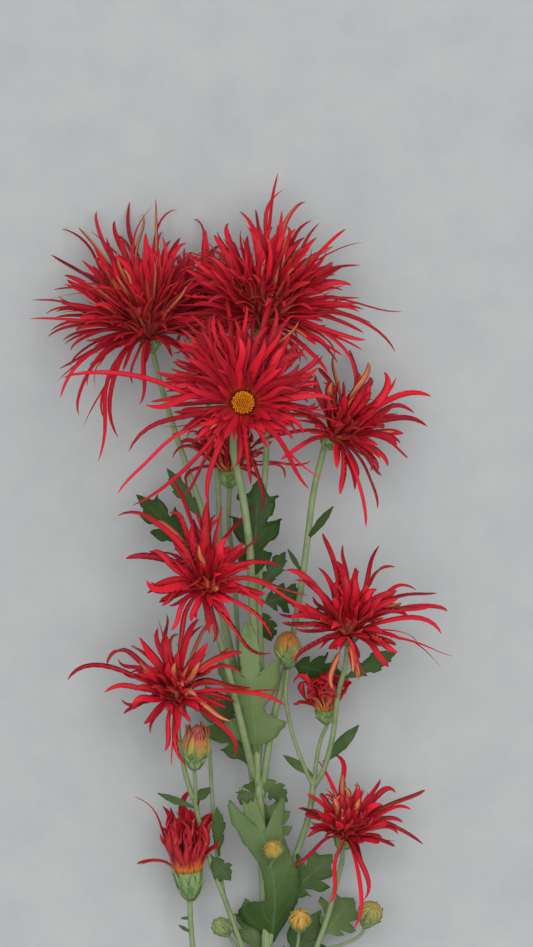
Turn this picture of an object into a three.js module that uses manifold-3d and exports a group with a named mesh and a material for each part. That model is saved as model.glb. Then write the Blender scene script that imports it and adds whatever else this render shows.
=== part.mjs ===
// One cut spray of a saga chrysanthemum, laid down: a branched leafy stem, open and half-open
// blooms of narrow crimson petals, and yellow-green buds.
// Millimetres and degrees. X runs across the spray, Y from the cut end to the crown, Z up.
import * as THREE from "three";
import Module from "manifold-3d";

const wasm = await Module();
wasm.setup();

// Petal widths as a share of the length, the depth of the keel below a blade and how far its
// edges are folded up.
const PETAL_WIDTH = { share: 0.08, least: 2.5, most: 3.6 };
const PETAL_KEEL = 0.9;
const PETAL_FOLD = 0.15;
// How far a petal's tip may be lifted or lowered to keep clear of its neighbours.
const PETAL_TRIES = [0, 6, -6, 12, -12, 19, -19, 27, -27];
const CLEARANCE = 0.55;
const LEAF_THICKNESS = 0.8;
const LEAF_ROOM = 1.6;
// Each half of a leaf's outline is drawn by chance between these shares of its half width, and
// its edge waves by a share of that, most of it downwards.
const LEAF_SHARE = { least: 0.85, most: 1.15 };
const LEAF_WAVE = { share: 0.4, down: 0.6 };
const STALK_STEP = 24;
const STALK_TAPER = 0.85;
const STALK_SIDES = 5;
// Between pieces that touch, and the size below which corners are merged.
const GAP = 0.3;
const SLIVER = 0.03;

// The heart of a bloom, from the green cup up: cup, core with the petal roots, disc of florets.
const CUP = { depth: 6.5, radius: 4.6 };
const CUP_BELLY = { height: 0.6, radius: 0.9 };
const BUD_CUP = { depth: 0.5, radius: 0.4 };
const CORE_HEIGHT = 2.6;
const CORE_RADIUS = 3.6;
const CORE_FOOT = 0.9;
const CORE_SIDES = 8;
const ROOT_HEIGHT = 1.3;
const ROOT_RADIUS = 1.5;
const ROOT_OUTSET = 0.5;
const DISC_RIM = 1.5;
const RING_RIM = 0.9;
const DISC_HEIGHT = 0.6;
const DISC_SIDES = 12;
const DISC_LATITUDES = [0, 25, 50, 75];
const FLORET_GROOVE = 0.12;

// How a petal's midline leaves the heart and ends: the reach of its handles as a share of its
// length, how much it rises at the root, how much it droops at the tip and how far it leaves
// the heart outwards before it turns.
const HANDLE = 0.36;
const ROOT_RISE = 0.7;
const TIP_DROOP = 0.35;
const LEAST_OUTWARD = 0.45;

// Petals differ in spread and length by a random share. Those between the rays turn round the
// heart by the golden angle, from the bloom's full opening in to the innermost.
const SHARE = { least: 0.6, most: 0.95 };
const GOLDEN_ANGLE = 137.5;
const INNERMOST = 18;
const FILL_BEND = 90;
const PROP_BEND = 20;
// The steepest that a ray rises or falls to follow its flower's opening, and what that costs.
const STEEPEST = 35;
const STEEPNESS_STEP = 5;
const STEEPNESS_COST = 0.6;

// Where a blade has its sections, with their width and keel as shares of the whole.
const LONG_PETAL = 40;
const LONG_STATIONS = [
  { along: 0, width: 0.32, keel: 1 },
  { along: 0.3, width: 0.86, keel: 1 },
  { along: 0.6, width: 1, keel: 0.9 },
  { along: 0.85, width: 0.66, keel: 0.7 },
];
const SHORT_STATIONS = [
  { along: 0, width: 0.32, keel: 1 },
  { along: 0.4, width: 1, keel: 1 },
  { along: 0.78, width: 0.8, keel: 0.8 },
];
const INNER_STATIONS = [
  { along: 0, width: 0.32, keel: 1 },
  { along: 0.55, width: 1, keel: 1 },
];
// A midline is checked in so many lengths, of which the first ones may touch their own bloom.
const LENGTHS = 5;
const FREE_FROM = 2;
const LEAF_SEED = 11;
const BLOOM_SEED = 101;

// Stems that carry more than one stalk: radius at the foot and at the top, and the route.
const STEMS = {
  main: {
    radii: [2.6, 2.1],
    sides: 8,
    path: [[-2, -127, 2.3], [-3, -77, 8], [-2, -35, 13], [0, -5, 18], [-1, 28, 24], [-4, 72, 32]],
  },
  upper: {
    radii: [1.7, 1.5],
    sides: 6,
    path: [[-5, 66, 31], [-11, 104, 33], [-19, 141, 36], [-22, 155, 37]],
  },
  right: {
    radii: [1.5, 1.3],
    sides: 6,
    path: [[0, -4, 18], [6, 18, 24], [13, 39, 28], [18, 55, 32], [20, 70, 36]],
  },
  left: {
    radii: [1.2, 1.05],
    sides: 6,
    path: [
      [-2, -36, 13], [-7, -10, 18], [-12, 3, 22], [-18, 20, 26], [-23, 33, 30], [-28, 51, 36],
      [-31, 64, 42],
    ],
  },
  low_right: {
    radii: [1.4, 1.3],
    sides: 6,
    path: [[0, -20, 15], [12, -10, 20], [22, -1, 24]],
  },
  side: {
    radii: [0.95, 0.8],
    sides: 5,
    path: [[-18, 20, 26], [-21, 39, 25], [-23, 62, 23], [-24, 82, 21]],
  },
};

// Open and half-open blooms. The axis leans tilt degrees from straight up towards turn, which is
// counted from X towards Y. A ray is one long petal as seen from above: its direction, how far
// its tip reaches from the centre and how far it bends on the way, both angles counted like turn.
// A prop is a place on the surface below that the tip of a petal rests on. A half-open bloom has
// no disc: its petals stand in a ring of the given radius round the closed heart, on its own cup.
const BLOOMS = {
  front: {
    centre: [-10, 228, 88], turn: 60, tilt: 10, disc: 4.6, open: 100, petals: 37, length: 36,
    stalk: {
      radius: 1.8,
      path: [
        [-4, 66, 31], [-4, 87, 38], [-4, 112, 46], [-6, 146, 56], [-7, 167, 61], [-10, 190, 65],
        [-14, 210, 68],
      ],
    },
    rays: [
      [2, 38, -10], [15, 33, -20], [31, 39, 5], [46, 35, 15], [60, 43, 15], [72, 43, 12], [88, 31, 5],
      [98, 34, 0], [114, 38, 15], [127, 36, 45], [150, 34, 10], [167, 34, 10], [172, 75, -6],
      [181, 40, 45],
      [203, 51, 20], [216, 64, 28], [223, 62, -22], [237, 47, 30], [252, 45, 50], [264, 26, 8],
      [276, 34, 10],
      [279, 46, 20], [308, 45, -30], [330, 26, -15], [347, 43, -5],
    ],
  },
  crown_left: {
    centre: [-49, 256, 45], turn: 100, tilt: 55, disc: 2.4, open: 105, petals: 36, length: 38,
    stalk: {
      radius: 1.3,
      path: [
        [-22, 152, 37], [-26, 179, 38], [-33, 200, 38], [-40, 221, 37], [-45, 238, 37],
      ],
    },
    rays: [
      [40, 33, -5], [68, 38, 15], [79, 56, -20], [84, 46, 0], [88, 59, 6], [94, 53, -40], [99, 59, 15],
      [107, 52, 5], [110, 48, 30], [113, 59, -15], [123, 56, 5], [129, 60, -25], [140, 55, -5],
      [153, 46, 30],
      [162, 52, 8], [167, 45, 0], [171, 51, -8], [184, 36, 15], [214, 45, 55], [228, 44, 65],
      [241, 39, 25],
      [248, 56, 55], [253, 44, 60], [352, 22, -30],
    ],
    props: [[-68, 262], [-52, 280]],
  },
  crown_right: {
    centre: [-2, 261, 57], turn: 80, tilt: 50, disc: 2.4, open: 105, petals: 34, length: 38,
    stalk: {
      radius: 1.4,
      path: [
        [-4, 68, 31], [-2, 104, 38], [-3, 141, 43], [-2, 179, 44], [0, 213, 44], [-2, 240, 46],
      ],
    },
    rays: [
      [1, 46, -15], [6, 59, -18], [10, 31, -20], [20, 35, -5], [26, 39, -12], [32, 49, -25], [43, 40, 10],
      [49, 54, 5], [61, 50, 0], [65, 49, -8], [71, 56, -22], [77, 44, 20], [80, 49, 10], [81, 59, -30],
      [84, 65, -22], [93, 50, 8], [101, 49, 25], [108, 46, -40], [330, 45, -80], [338, 33, -50],
      [349, 57, -45],
      [352, 44, 10],
    ],
  },
  right: {
    centre: [28, 214, 48], turn: 45, tilt: 50, disc: 2.4, open: 105, petals: 30, length: 34,
    stalk: {
      radius: 1.5,
      path: [
        [-2, 62, 30], [2, 91, 36], [8, 116, 39], [13, 141, 41], [17, 169, 41], [20, 192, 40],
      ],
    },
    rays: [
      [7, 40, -25], [17, 36, -25], [23, 45, -25], [40, 30, 10], [52, 35, 90], [59, 30, -15],
      [65, 35, -25],
      [79, 38, 15], [89, 35, 5], [102, 30, 10], [182, 30, 5], [203, 24, 20], [277, 24, -10], [290, 40, 5],
      [302, 35, -12], [322, 26, 10], [345, 33, -45], [351, 27, -15],
    ],
    props: [[48, 222], [38, 232]],
  },
  middle_left: {
    centre: [-25, 151, 76], turn: 95, tilt: 32, disc: 2.4, open: 105, petals: 30, length: 30,
    stalk: {
      radius: 1.6,
      path: [[-5, 70, 32], [-9, 87, 46], [-14, 108, 56], [-19, 127, 63], [-23, 139, 68]],
    },
    rays: [
      [17, 32, -60], [44, 31, 10], [61, 40, -50], [80, 35, -5], [89, 37, 0], [97, 30, 5], [108, 48, 25],
      [117, 35, 12], [128, 35, 20], [141, 48, 45], [160, 36, 55], [185, 25, 80], [201, 20, 90],
      [230, 23, 70],
      [243, 27, 40], [268, 18, 10], [305, 20, 0], [315, 38, 75], [323, 34, -10], [350, 44, -60],
      [356, 42, -35],
    ],
  },
  lower_left: {
    centre: [-37, 105, 60], turn: 115, tilt: 35, disc: 2.4, open: 105, petals: 28, length: 28,
    stalk: { radius: 1.1, path: [[-31, 62, 42], [-34, 72, 46], [-36, 83, 50], [-37, 93, 53]] },
    rays: [
      [8, 31, -60], [22, 28, -85], [35, 33, -45], [67, 37, -12], [75, 34, -15], [85, 36, 0],
      [98, 35, -45],
      [107, 30, 10], [133, 29, 20], [148, 30, 25], [158, 33, 60], [171, 47, 38], [176, 31, 20],
      [197, 24, 15],
      [217, 18, 10], [256, 23, 35], [276, 28, 30], [314, 34, -60], [337, 24, -25], [356, 45, -30],
    ],
  },
  middle_right: {
    centre: [34, 132, 66], turn: 90, tilt: 42, disc: 2.4, open: 105, petals: 30, length: 30,
    stalk: {
      radius: 1.2,
      path: [
        [20, 67, 35], [24, 74, 40], [28, 89, 46], [30, 106, 52], [33, 118, 57],
      ],
    },
    rays: [
      [0, 39, -30], [12, 43, -15], [18, 38, -15], [24, 41, -45], [32, 34, -20], [54, 34, -35],
      [70, 39, 10],
      [84, 27, -5], [93, 37, 8], [104, 43, 0], [114, 30, 5], [122, 26, -10], [134, 37, 40], [164, 30, 20],
      [208, 25, -10], [255, 24, 8], [283, 20, -10], [321, 22, -5], [340, 22, -12], [348, 45, -5],
    ],
  },
  lower_right: {
    centre: [33, 46, 46], turn: 75, tilt: 50, disc: 2.4, open: 100, petals: 23, length: 24,
    stalk: { radius: 1.2, path: [[21, -2, 24], [26, 12, 27], [30, 28, 32], [32, 36, 37]] },
    rays: [
      [14, 25, -30], [23, 30, -10], [29, 39, 30], [40, 28, -20], [58, 28, -8], [79, 22, -10], [92, 26, 0],
      [99, 35, -5], [110, 34, 0], [132, 24, 0], [180, 16, 55], [208, 24, 12], [257, 28, 30],
      [275, 38, -5],
      [286, 27, -25], [354, 33, -50],
    ],
  },
  crown_back: {
    centre: [-30, 260, 26], turn: 80, tilt: 60, disc: 2.4, open: 100, petals: 20, length: 34,
    stalk: { radius: 1.2, path: [[-20, 148, 36], [-20, 179, 31], [-22, 213, 26], [-27, 238, 22]] },
    rays: [[63, 34, -30], [73, 38, -40], [79, 35, -20], [84, 42, 15], [91, 47, 25], [98, 35, 5]],
  },
  hidden: {
    centre: [-16, 200, 29], turn: 95, tilt: 75, disc: 0, open: 62, petals: 14, length: 24,
    ring: 2.6, cup: { depth: 7, radius: 4.8 },
    stalk: { radius: 1.1, path: [[-10, 100, 33], [-12, 130, 31], [-14, 160, 28], [-16, 180, 27]] },
    rays: [
      [7, 35, 15], [40, 24, 0], [134, 24, 0], [167, 24, 20], [200, 18, 60], [319, 18, -90],
      [352, 24, -20],
    ],
  },
  back_right: {
    centre: [25, 99, 37], turn: 95, tilt: 75, disc: 0, open: 55, petals: 12, length: 17,
    ring: 3.2, cup: { depth: 5.5, radius: 4.6 },
    stalk: { radius: 0.95, path: [[20, 66, 35], [21, 77, 36], [23, 87, 37]] },
    rays: [[48, 14, 0], [80, 17, 0], [117, 15, 0], [168, 14, 40]],
  },
  lower_young: {
    centre: [-33, 31, 32], turn: 95, tilt: 75, disc: 0, open: 50, petals: 14, length: 25,
    ring: 4.4, cup: { depth: 12.5, radius: 6.3 },
    stalk: { radius: 1.3, path: [[-2, -56, 11], [-17, -31, 14], [-29, -12, 20], [-32, 8, 26]] },
    rays: [[65, 26, -60], [80, 32, 12], [88, 34, -20], [112, 29, 0], [126, 39, 35], [172, 22, 55]],
  },
};

// Buds: the base of the egg that they make, the lean of its axis, its length and its width.
const BUDS = {
  bud_middle: {
    base: [9, 122, 47], turn: 92, tilt: 60, length: 12, width: 11,
    stalk: { radius: 0.9, path: [[20, 66, 35], [14, 80, 38], [10, 93, 41], [8, 106, 43]] },
  },
  bud_opening: {
    base: [-30, 80, 52], turn: 85, tilt: 62, length: 15, width: 12,
    stalk: { radius: 0.9, path: [[-30, 60, 40.5], [-30, 70, 47]] },
  },
  bud_centre: {
    base: [3, 39, 44], turn: 95, tilt: 35, length: 8, width: 8,
    stalk: { radius: 0.8, path: [[-1, 24, 23], [1, 32, 33]] },
  },
  bud_low: {
    base: [14, 9, 36], turn: 85, tilt: 35, length: 9, width: 9,
    stalk: { radius: 0.8, path: [[0, -20, 15], [9, -10, 21], [13, -1, 27]] },
  },
  bud_right: {
    base: [43, 11, 28], turn: 70, tilt: 45, length: 9.5, width: 10,
    stalk: { radius: 0.8, path: [[20, -3, 23], [33, 0, 23], [40, 4, 24]] },
  },
  bud_left: {
    base: [-18, 6, 25], turn: 130, tilt: 45, length: 7, width: 7.5,
    stalk: { radius: 0.8, path: [[-7, -10, 18], [-12, -3, 19]] },
  },
};
const BUD_RIBS = 7;
// A bud's sections from its base up: height and radius as shares, and the depth between ribs.
const BUD_SECTIONS = [
  { height: 0, radius: 0.74, rib: 0 },
  { height: 0.28, radius: 0.98, rib: 0.05 },
  { height: 0.6, radius: 0.9, rib: 0.14 },
  { height: 0.86, radius: 0.5, rib: 0.24 },
];
const BUD_TIP = 0.92;

// Leaf outlines: places along the midrib and half widths, as shares of the length and half width.
// Each lobe leans forward, so that its tip lies just before the notch that ends it.
const LEAF_SHAPES = {
  lobed: [
    [0, 0.06], [0.2, 0.1], [0.38, 0.6], [0.43, 0.22], [0.63, 1], [0.68, 0.34], [0.82, 0.7],
    [0.86, 0.3],
  ],
  broad: [
    [0, 0.1], [0.14, 0.4], [0.32, 0.86], [0.38, 0.38], [0.5, 0.5], [0.73, 1], [0.77, 0.34],
    [0.9, 0.3],
  ],
  fingered: [
    [0, 0.08], [0.2, 0.3], [0.45, 0.82], [0.52, 0.46], [0.68, 0.42], [0.9, 1], [0.94, 0.4],
  ],
  toothed: [[0, 0.14], [0.3, 0.66], [0.36, 0.46], [0.58, 1], [0.64, 0.6], [0.82, 0.6]],
  narrow: [[0, 0.3], [0.4, 1], [0.8, 0.6]],
};

// Leaves: shape, midrib from the stem to the tip, whole width and how high the midrib arches.
const LEAVES = [
  { shape: "lobed", from: [-24, 160, 37], to: [-55, 190, 28], width: 24, arch: 4 },
  { shape: "toothed", from: [-26, 178, 38], to: [-42, 201, 32], width: 9, arch: 2 },
  { shape: "lobed", from: [-6, 150, 57], to: [-3, 197, 50], width: 25, arch: -4 },
  { shape: "toothed", from: [-3, 149, 43], to: [8, 166, 40], width: 9, arch: 2 },
  { shape: "lobed", from: [-3, 144, 43], to: [16, 149, 34], width: 16, arch: 3 },
  { shape: "toothed", from: [-3, 142, 43], to: [2, 128, 32], width: 12, arch: 3 },
  { shape: "broad", from: [-4, 79, 36], to: [-8, 135, 56], width: 37, arch: 6 },
  { shape: "lobed", from: [-6, 73, 32], to: [-26, 109, 16], width: 26, arch: 3 },
  { shape: "lobed", from: [9, 119, 38], to: [33, 113, 27], width: 17, arch: 2 },
  { shape: "toothed", from: [31, 112, 54], to: [55, 124, 40], width: 9, arch: 2 },
  { shape: "narrow", from: [17, 171, 41], to: [28, 185, 48], width: 4, arch: 1 },
  { shape: "narrow", from: [15, 157, 41], to: [9, 167, 46], width: 2.4, arch: 1 },
  { shape: "narrow", from: [24, 77, 41], to: [39, 93, 44], width: 6, arch: 2 },
  { shape: "narrow", from: [20, 71, 36], to: [7, 80, 32], width: 4, arch: 2 },
  { shape: "toothed", from: [-3, 71, 32], to: [9, 60, 26], width: 10, arch: 3 },
  { shape: "toothed", from: [-5, 70, 32], to: [-11, 59, 36], width: 9, arch: 3 },
  { shape: "toothed", from: [-3, 63, 30], to: [-1, 47, 26], width: 8, arch: 1 },
  { shape: "fingered", from: [2, 0, 19.5], to: [-10, 63, 36], width: 40, arch: 7 },
  { shape: "lobed", from: [-2, 33, 24], to: [6, 62, 22], width: 18, arch: 3 },
  { shape: "lobed", from: [6, -15, 17.5], to: [23, 14, 18], width: 20, arch: 3 },
  { shape: "lobed", from: [6, 18, 24], to: [28, 38, 29], width: 24, arch: 3 },
  { shape: "lobed", from: [-1, -12, 16], to: [-9, 19, 14], width: 20, arch: 3 },
  { shape: "lobed", from: [23, 3, 25], to: [37, 19, 13], width: 24, arch: 3 },
  { shape: "narrow", from: [-23, 66, 23], to: [-31, 61, 26], width: 5, arch: 1 },
  { shape: "narrow", from: [-30, 58, 39], to: [-46, 64, 34], width: 5, arch: 2 },
  { shape: "toothed", from: [-24, 38, 31], to: [-15, 27, 30], width: 11, arch: 2 },
  { shape: "toothed", from: [-20, 37, 26], to: [-21, 58, 34], width: 8, arch: 2 },
];

const radians = THREE.MathUtils.degToRad;
const UP = new THREE.Vector3(0, 0, 1);
const ALONG = new THREE.Vector3(0, 1, 0);

// A row of numbers from 0 to 1 that is the same on every run.
function seeded(seed) {
  let state = seed;
  return () => {
    state = (Math.imul(state, 1664525) + 1013904223) >>> 0;
    return state / 2 ** 32;
  };
}

function vector([x, y, z]) {
  return new THREE.Vector3(x, y, z);
}

// A closed solid through rings of points, which run counter-clockwise round the way they are
// stacked. Both ends are closed by a fan, the far one to a point where one is given. Sides in
// flipped have their quads split along the other diagonal.
function loft(rings, { end, flipped = [] } = {}) {
  const sides = rings[0].length;
  const points = rings.flat();
  const faces = [];
  const last = (rings.length - 1) * sides;
  for (let ring = 0; ring < rings.length - 1; ring += 1) {
    for (let side = 0; side < sides; side += 1) {
      const a = ring * sides + side;
      const b = ring * sides + ((side + 1) % sides);
      const c = a + sides;
      const d = b + sides;
      faces.push(...(flipped.includes(side) ? [a, b, c, b, d, c] : [a, b, d, a, d, c]));
    }
  }
  for (let side = 1; side < sides - 1; side += 1) {
    faces.push(0, side + 1, side);
  }
  const tip = end ? points.push(end) - 1 : last;
  for (let side = 0; side < sides; side += 1) {
    const next = last + ((side + 1) % sides);
    if (end || (side > 0 && next !== last)) {
      faces.push(tip, last + side, next);
    }
  }
  return new wasm.Manifold(
    new wasm.Mesh({
      numProp: 3,
      vertProperties: new Float32Array(points.flatMap((point) => point.toArray())),
      triVerts: new Uint32Array(faces),
    }),
  );
}

function circle(centre, across, over, radius, sides) {
  return Array.from({ length: sides }, (_, side) => {
    const angle = (2 * Math.PI * side) / sides;
    return centre
      .clone()
      .addScaledVector(across, radius * Math.cos(angle))
      .addScaledVector(over, radius * Math.sin(angle));
  });
}

// One body of many: what stays loose or is sealed in is dropped, and slivers are merged.
function fuse(solids) {
  const bodies = solids.reduce((whole, solid) => whole.add(solid)).simplify(SLIVER).decompose();
  return bodies.reduce((most, body) => (body.volume() > most.volume() ? body : most));
}

// The frame of a flower: its axis and the two directions across it.
function lean({ turn, tilt }) {
  const axis = new THREE.Vector3(
    Math.sin(radians(tilt)) * Math.cos(radians(turn)),
    Math.sin(radians(tilt)) * Math.sin(radians(turn)),
    Math.cos(radians(tilt)),
  );
  const across = new THREE.Vector3().crossVectors(ALONG, axis).normalize();
  const over = new THREE.Vector3().crossVectors(axis, across);
  return { axis, across, over };
}

// What is in place already, as groups of round-ended rods, so that petals can keep clear of it.
const placed = [];

function place(owner, points, radii) {
  const rods = [];
  for (let i = 1; i < points.length; i += 1) {
    const line = new THREE.Line3(points[i - 1], points[i]);
    rods.push({ line, radius: Math.max(radii[i - 1], radii[i]) });
  }
  const ball = new THREE.Sphere().setFromPoints(points);
  ball.radius += Math.max(...radii);
  placed.push({ owner, rods, ball });
}

// Whether a new row of rods keeps clear of what others placed and, where its own flower counts
// too, of the free parts of the petals beside it.
function isClear(owner, points, radii, ownCounts) {
  const ball = new THREE.Sphere().setFromPoints(points);
  ball.radius += Math.max(...radii) + CLEARANCE;
  const counts = (group) => (ownCounts || group.owner !== owner) && group.ball.intersectsSphere(ball);
  return !placed.filter(counts).some((group) => {
    const from = group.owner === owner ? FREE_FROM : 0;
    return points.slice(from + 1).some((end, i) => {
      const line = new THREE.Line3(points[from + i], end);
      const reach = Math.max(radii[from + i], radii[from + i + 1]) + CLEARANCE;
      return group.rods
        .slice(from)
        .some((rod) => line.distanceSqToLine3(rod.line) < (reach + rod.radius) ** 2);
    });
  });
}

// The rings of a stem along its route.
function stalkRings(path, [thick, thin], sides) {
  const curve = new THREE.CatmullRomCurve3(path);
  const steps = Math.max(3, Math.round(curve.getLength() / STALK_STEP));
  const frames = curve.computeFrenetFrames(steps);
  const points = curve.getSpacedPoints(steps);
  const radii = points.map((_, i) => THREE.MathUtils.lerp(thick, thin, i / steps));
  place("leafy_stem", points, radii);
  const rings = points.map((point, i) =>
    circle(point, frames.normals[i], frames.binormals[i], radii[i], sides),
  );
  rings.flat().forEach((point) => point.setZ(Math.max(point.z, 0)));
  return rings;
}

// A stalk that widens at its end into the green cup that the flower sits on.
function flowerStalk(name, { stalk }, { seat, axis, depth, radius }) {
  const foot = seat.clone().addScaledVector(axis, -depth);
  const radii = [stalk.radius, stalk.radius * STALK_TAPER];
  const rings = stalkRings([...stalk.path.map(vector), foot], radii, STALK_SIDES);
  const across = rings.at(-1)[0].clone().sub(foot).projectOnPlane(axis).normalize();
  const over = new THREE.Vector3().crossVectors(axis, across);
  const at = (height) => seat.clone().addScaledVector(axis, height);
  place(name, [foot, seat], [radius, radius]);
  return loft([
    ...rings,
    circle(at(-depth * CUP_BELLY.height), across, over, radius * CUP_BELLY.radius, STALK_SIDES),
    circle(at(-GAP), across, over, radius, STALK_SIDES),
  ]);
}

// A leaf lies along an arched midrib. Its lobes sweep forward and wave up and down in turn.
function leaf({ shape, from, to, width, arch }, random) {
  const start = vector(from);
  const end = vector(to);
  const middle = start.clone().lerp(end, 0.5).addScaledVector(UP, 2 * arch);
  const rib = new THREE.QuadraticBezierCurve3(start, middle, end);
  const along = end.clone().sub(start).normalize();
  const side = new THREE.Vector3().crossVectors(UP, along).normalize();
  const normal = new THREE.Vector3().crossVectors(along, side);
  const rings = LEAF_SHAPES[shape].map(([station, half]) => {
    const centre = rib.getPoint(station);
    const [right, left] = [1, -1].map((sign) => {
      const share = THREE.MathUtils.lerp(LEAF_SHARE.least, LEAF_SHARE.most, random());
      const reach = half * (width / 2) * share;
      return centre
        .clone()
        .addScaledVector(side, sign * reach)
        .addScaledVector(normal, (random() - LEAF_WAVE.down) * LEAF_WAVE.share * reach);
    });
    place("leafy_stem", [left, centre, right], [LEAF_ROOM, LEAF_ROOM, LEAF_ROOM]);
    const top = [right, left].map((point) => point.clone().addScaledVector(normal, LEAF_THICKNESS / 2));
    const under = [left, right].map((point) => point.clone().addScaledVector(normal, -LEAF_THICKNESS / 2));
    return [...top, ...under];
  });
  return loft(rings, { end, flipped: [2] });
}

function cubic(root, startWay, endWay, tip) {
  const handle = HANDLE * root.distanceTo(tip);
  return new THREE.CubicBezierCurve3(
    root,
    root.clone().addScaledVector(startWay, handle),
    tip.clone().addScaledVector(endWay, -handle),
    tip,
  );
}

// How far a ray rises from level, so that it leaves the axis by about the wished spread
// without being seen much shortened.
function rise(level, axis, spread) {
  const hinge = new THREE.Vector3().crossVectors(level, UP);
  let best = { cost: Infinity };
  for (let angle = -STEEPEST; angle <= STEEPEST; angle += STEEPNESS_STEP) {
    const way = level.clone().applyAxisAngle(hinge, radians(angle));
    const miss = Math.abs(THREE.MathUtils.radToDeg(way.angleTo(axis)) - spread);
    const cost = miss + STEEPNESS_COST * Math.abs(angle);
    if (cost < best.cost) {
      best = { cost, angle };
    }
  }
  return best.angle;
}

function randomShare(random) {
  return THREE.MathUtils.lerp(SHARE.least, SHARE.most, random());
}

// A petal's tip and bend as wished: for a ray from what is seen, for the others by a spiral
// that runs from the outermost petal to the heart.
function rayWish(bloom, [direction, reach, bend], frame, random) {
  const level = new THREE.Vector3(Math.cos(radians(direction)), Math.sin(radians(direction)), 0);
  const spread = bloom.open * randomShare(random);
  const climb = reach * Math.tan(radians(rise(level, frame.axis, spread)));
  const tip = vector(bloom.centre).addScaledVector(level, reach).addScaledVector(UP, climb);
  return { tip, bend, stations: reach > LONG_PETAL ? LONG_STATIONS : SHORT_STATIONS };
}

function propWish([x, y]) {
  return { tip: new THREE.Vector3(x, y, 0), bend: PROP_BEND, stations: LONG_STATIONS };
}

function spiralWish(bloom, count, index, frame, random) {
  const spread = radians(THREE.MathUtils.lerp(bloom.open, INNERMOST, (index + 0.5) / count));
  const round = radians(GOLDEN_ANGLE * index);
  const length = bloom.length * randomShare(random);
  const tip = vector(bloom.centre)
    .addScaledVector(frame.axis, Math.cos(spread) * length)
    .addScaledVector(frame.across, Math.sin(spread) * Math.cos(round) * length)
    .addScaledVector(frame.over, Math.sin(spread) * Math.sin(round) * length);
  return { tip, bend: FILL_BEND * (random() - 0.5), stations: INNER_STATIONS };
}

// The midline of a petal from its root ring on the core to its tip, moved up or down until it
// keeps clear of the other flowers and the stem, or nothing where there is no way through.
function petalLine(name, bloom, { tip, bend, stations }, frame) {
  const centre = vector(bloom.centre).addScaledVector(frame.axis, ROOT_HEIGHT);
  const chord = tip.clone().sub(centre);
  const outward = chord.clone().projectOnPlane(frame.axis).normalize();
  const ring = Math.max(bloom.disc + ROOT_OUTSET, bloom.ring ?? ROOT_RADIUS);
  const root = centre.clone().addScaledVector(outward, ring);
  const { share, least, most } = PETAL_WIDTH;
  const width = THREE.MathUtils.clamp(chord.length() * share, least, most);
  for (const [index, shift] of [...PETAL_TRIES, ...PETAL_TRIES].entries()) {
    const end = tip.clone().addScaledVector(UP, shift);
    const way = end.clone().sub(root).normalize();
    const startWay = way.clone().applyAxisAngle(UP, radians(-bend / 2));
    startWay.addScaledVector(frame.axis, ROOT_RISE);
    startWay.addScaledVector(outward, Math.max(0, LEAST_OUTWARD - startWay.dot(outward)));
    const endWay = way.clone().applyAxisAngle(UP, radians(bend / 2));
    endWay.addScaledVector(frame.axis, -TIP_DROOP);
    const curve = cubic(root, startWay.normalize(), endWay.normalize(), end);
    const points = curve.getPoints(LENGTHS).map((point) => point.setZ(Math.max(point.z, PETAL_KEEL)));
    const radii = points.map((_, i) => (width / 4) * (1 + Math.sin((Math.PI * i) / LENGTHS)));
    if (isClear(name, points, radii, index < PETAL_TRIES.length)) {
      place(name, points, radii);
      return { curve, width, outward, stations };
    }
  }
  return null;
}

// A narrow blade with a keel below and a pointed tip.
function petalBlade({ curve, width, outward, stations }, axis) {
  const level = new THREE.Vector3().crossVectors(axis, outward);
  const rings = stations.map((station) => {
    const way = curve.getTangent(station.along);
    const across = level.clone().projectOnPlane(way).normalize();
    const normal = new THREE.Vector3().crossVectors(way, across);
    const half = (station.width * width) / 2;
    const point = curve.getPoint(station.along);
    const ring = [
      point.clone().addScaledVector(across, half).addScaledVector(normal, PETAL_FOLD * half),
      point.clone().addScaledVector(across, -half).addScaledVector(normal, PETAL_FOLD * half),
      point.clone().addScaledVector(normal, -PETAL_KEEL * station.keel),
    ];
    const sunk = Math.max(0, -Math.min(...ring.map(({ z }) => z)));
    return ring.map((corner) => corner.addScaledVector(UP, sunk));
  });
  const tip = curve.getPoint(1);
  tip.z = Math.max(tip.z, 0);
  return loft(rings, { end: tip });
}

function core(bloom, frame) {
  const radius = Math.max(bloom.disc + DISC_RIM, (bloom.ring ?? 0) + RING_RIM, CORE_RADIUS);
  const at = (height) => vector(bloom.centre).addScaledVector(frame.axis, height);
  return loft([
    circle(at(0), frame.across, frame.over, radius * CORE_FOOT, CORE_SIDES),
    circle(at(CORE_HEIGHT), frame.across, frame.over, radius, CORE_SIDES),
  ]);
}

// The heart of an open bloom: a low dome whose skin rises in one knob for each group of florets.
function disc(bloom, frame) {
  const base = vector(bloom.centre).addScaledVector(frame.axis, CORE_HEIGHT + GAP);
  const top = bloom.disc * DISC_HEIGHT;
  const rings = DISC_LATITUDES.map((latitude, level) => {
    const centre = base.clone().addScaledVector(frame.axis, top * Math.sin(radians(latitude)));
    const radius = bloom.disc * Math.cos(radians(latitude));
    const ring = circle(centre, frame.across, frame.over, radius, DISC_SIDES);
    return ring.map((point, side) => point.lerp(centre, (level + side) % 2 && level ? FLORET_GROOVE : 0));
  });
  return loft(rings, { end: base.clone().addScaledVector(frame.axis, top) });
}

// A bud is an egg with one rib for each of its folded petals.
function bud({ base, length, width }, frame) {
  const rings = BUD_SECTIONS.map(({ height, radius, rib }) => {
    const centre = vector(base).addScaledVector(frame.axis, height * length);
    const ring = circle(centre, frame.across, frame.over, (radius * width) / 2, 2 * BUD_RIBS);
    return ring.map((point, side) => point.lerp(centre, side % 2 ? rib : 0));
  });
  return loft(rings, { end: vector(base).addScaledVector(frame.axis, length * BUD_TIP) });
}

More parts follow.
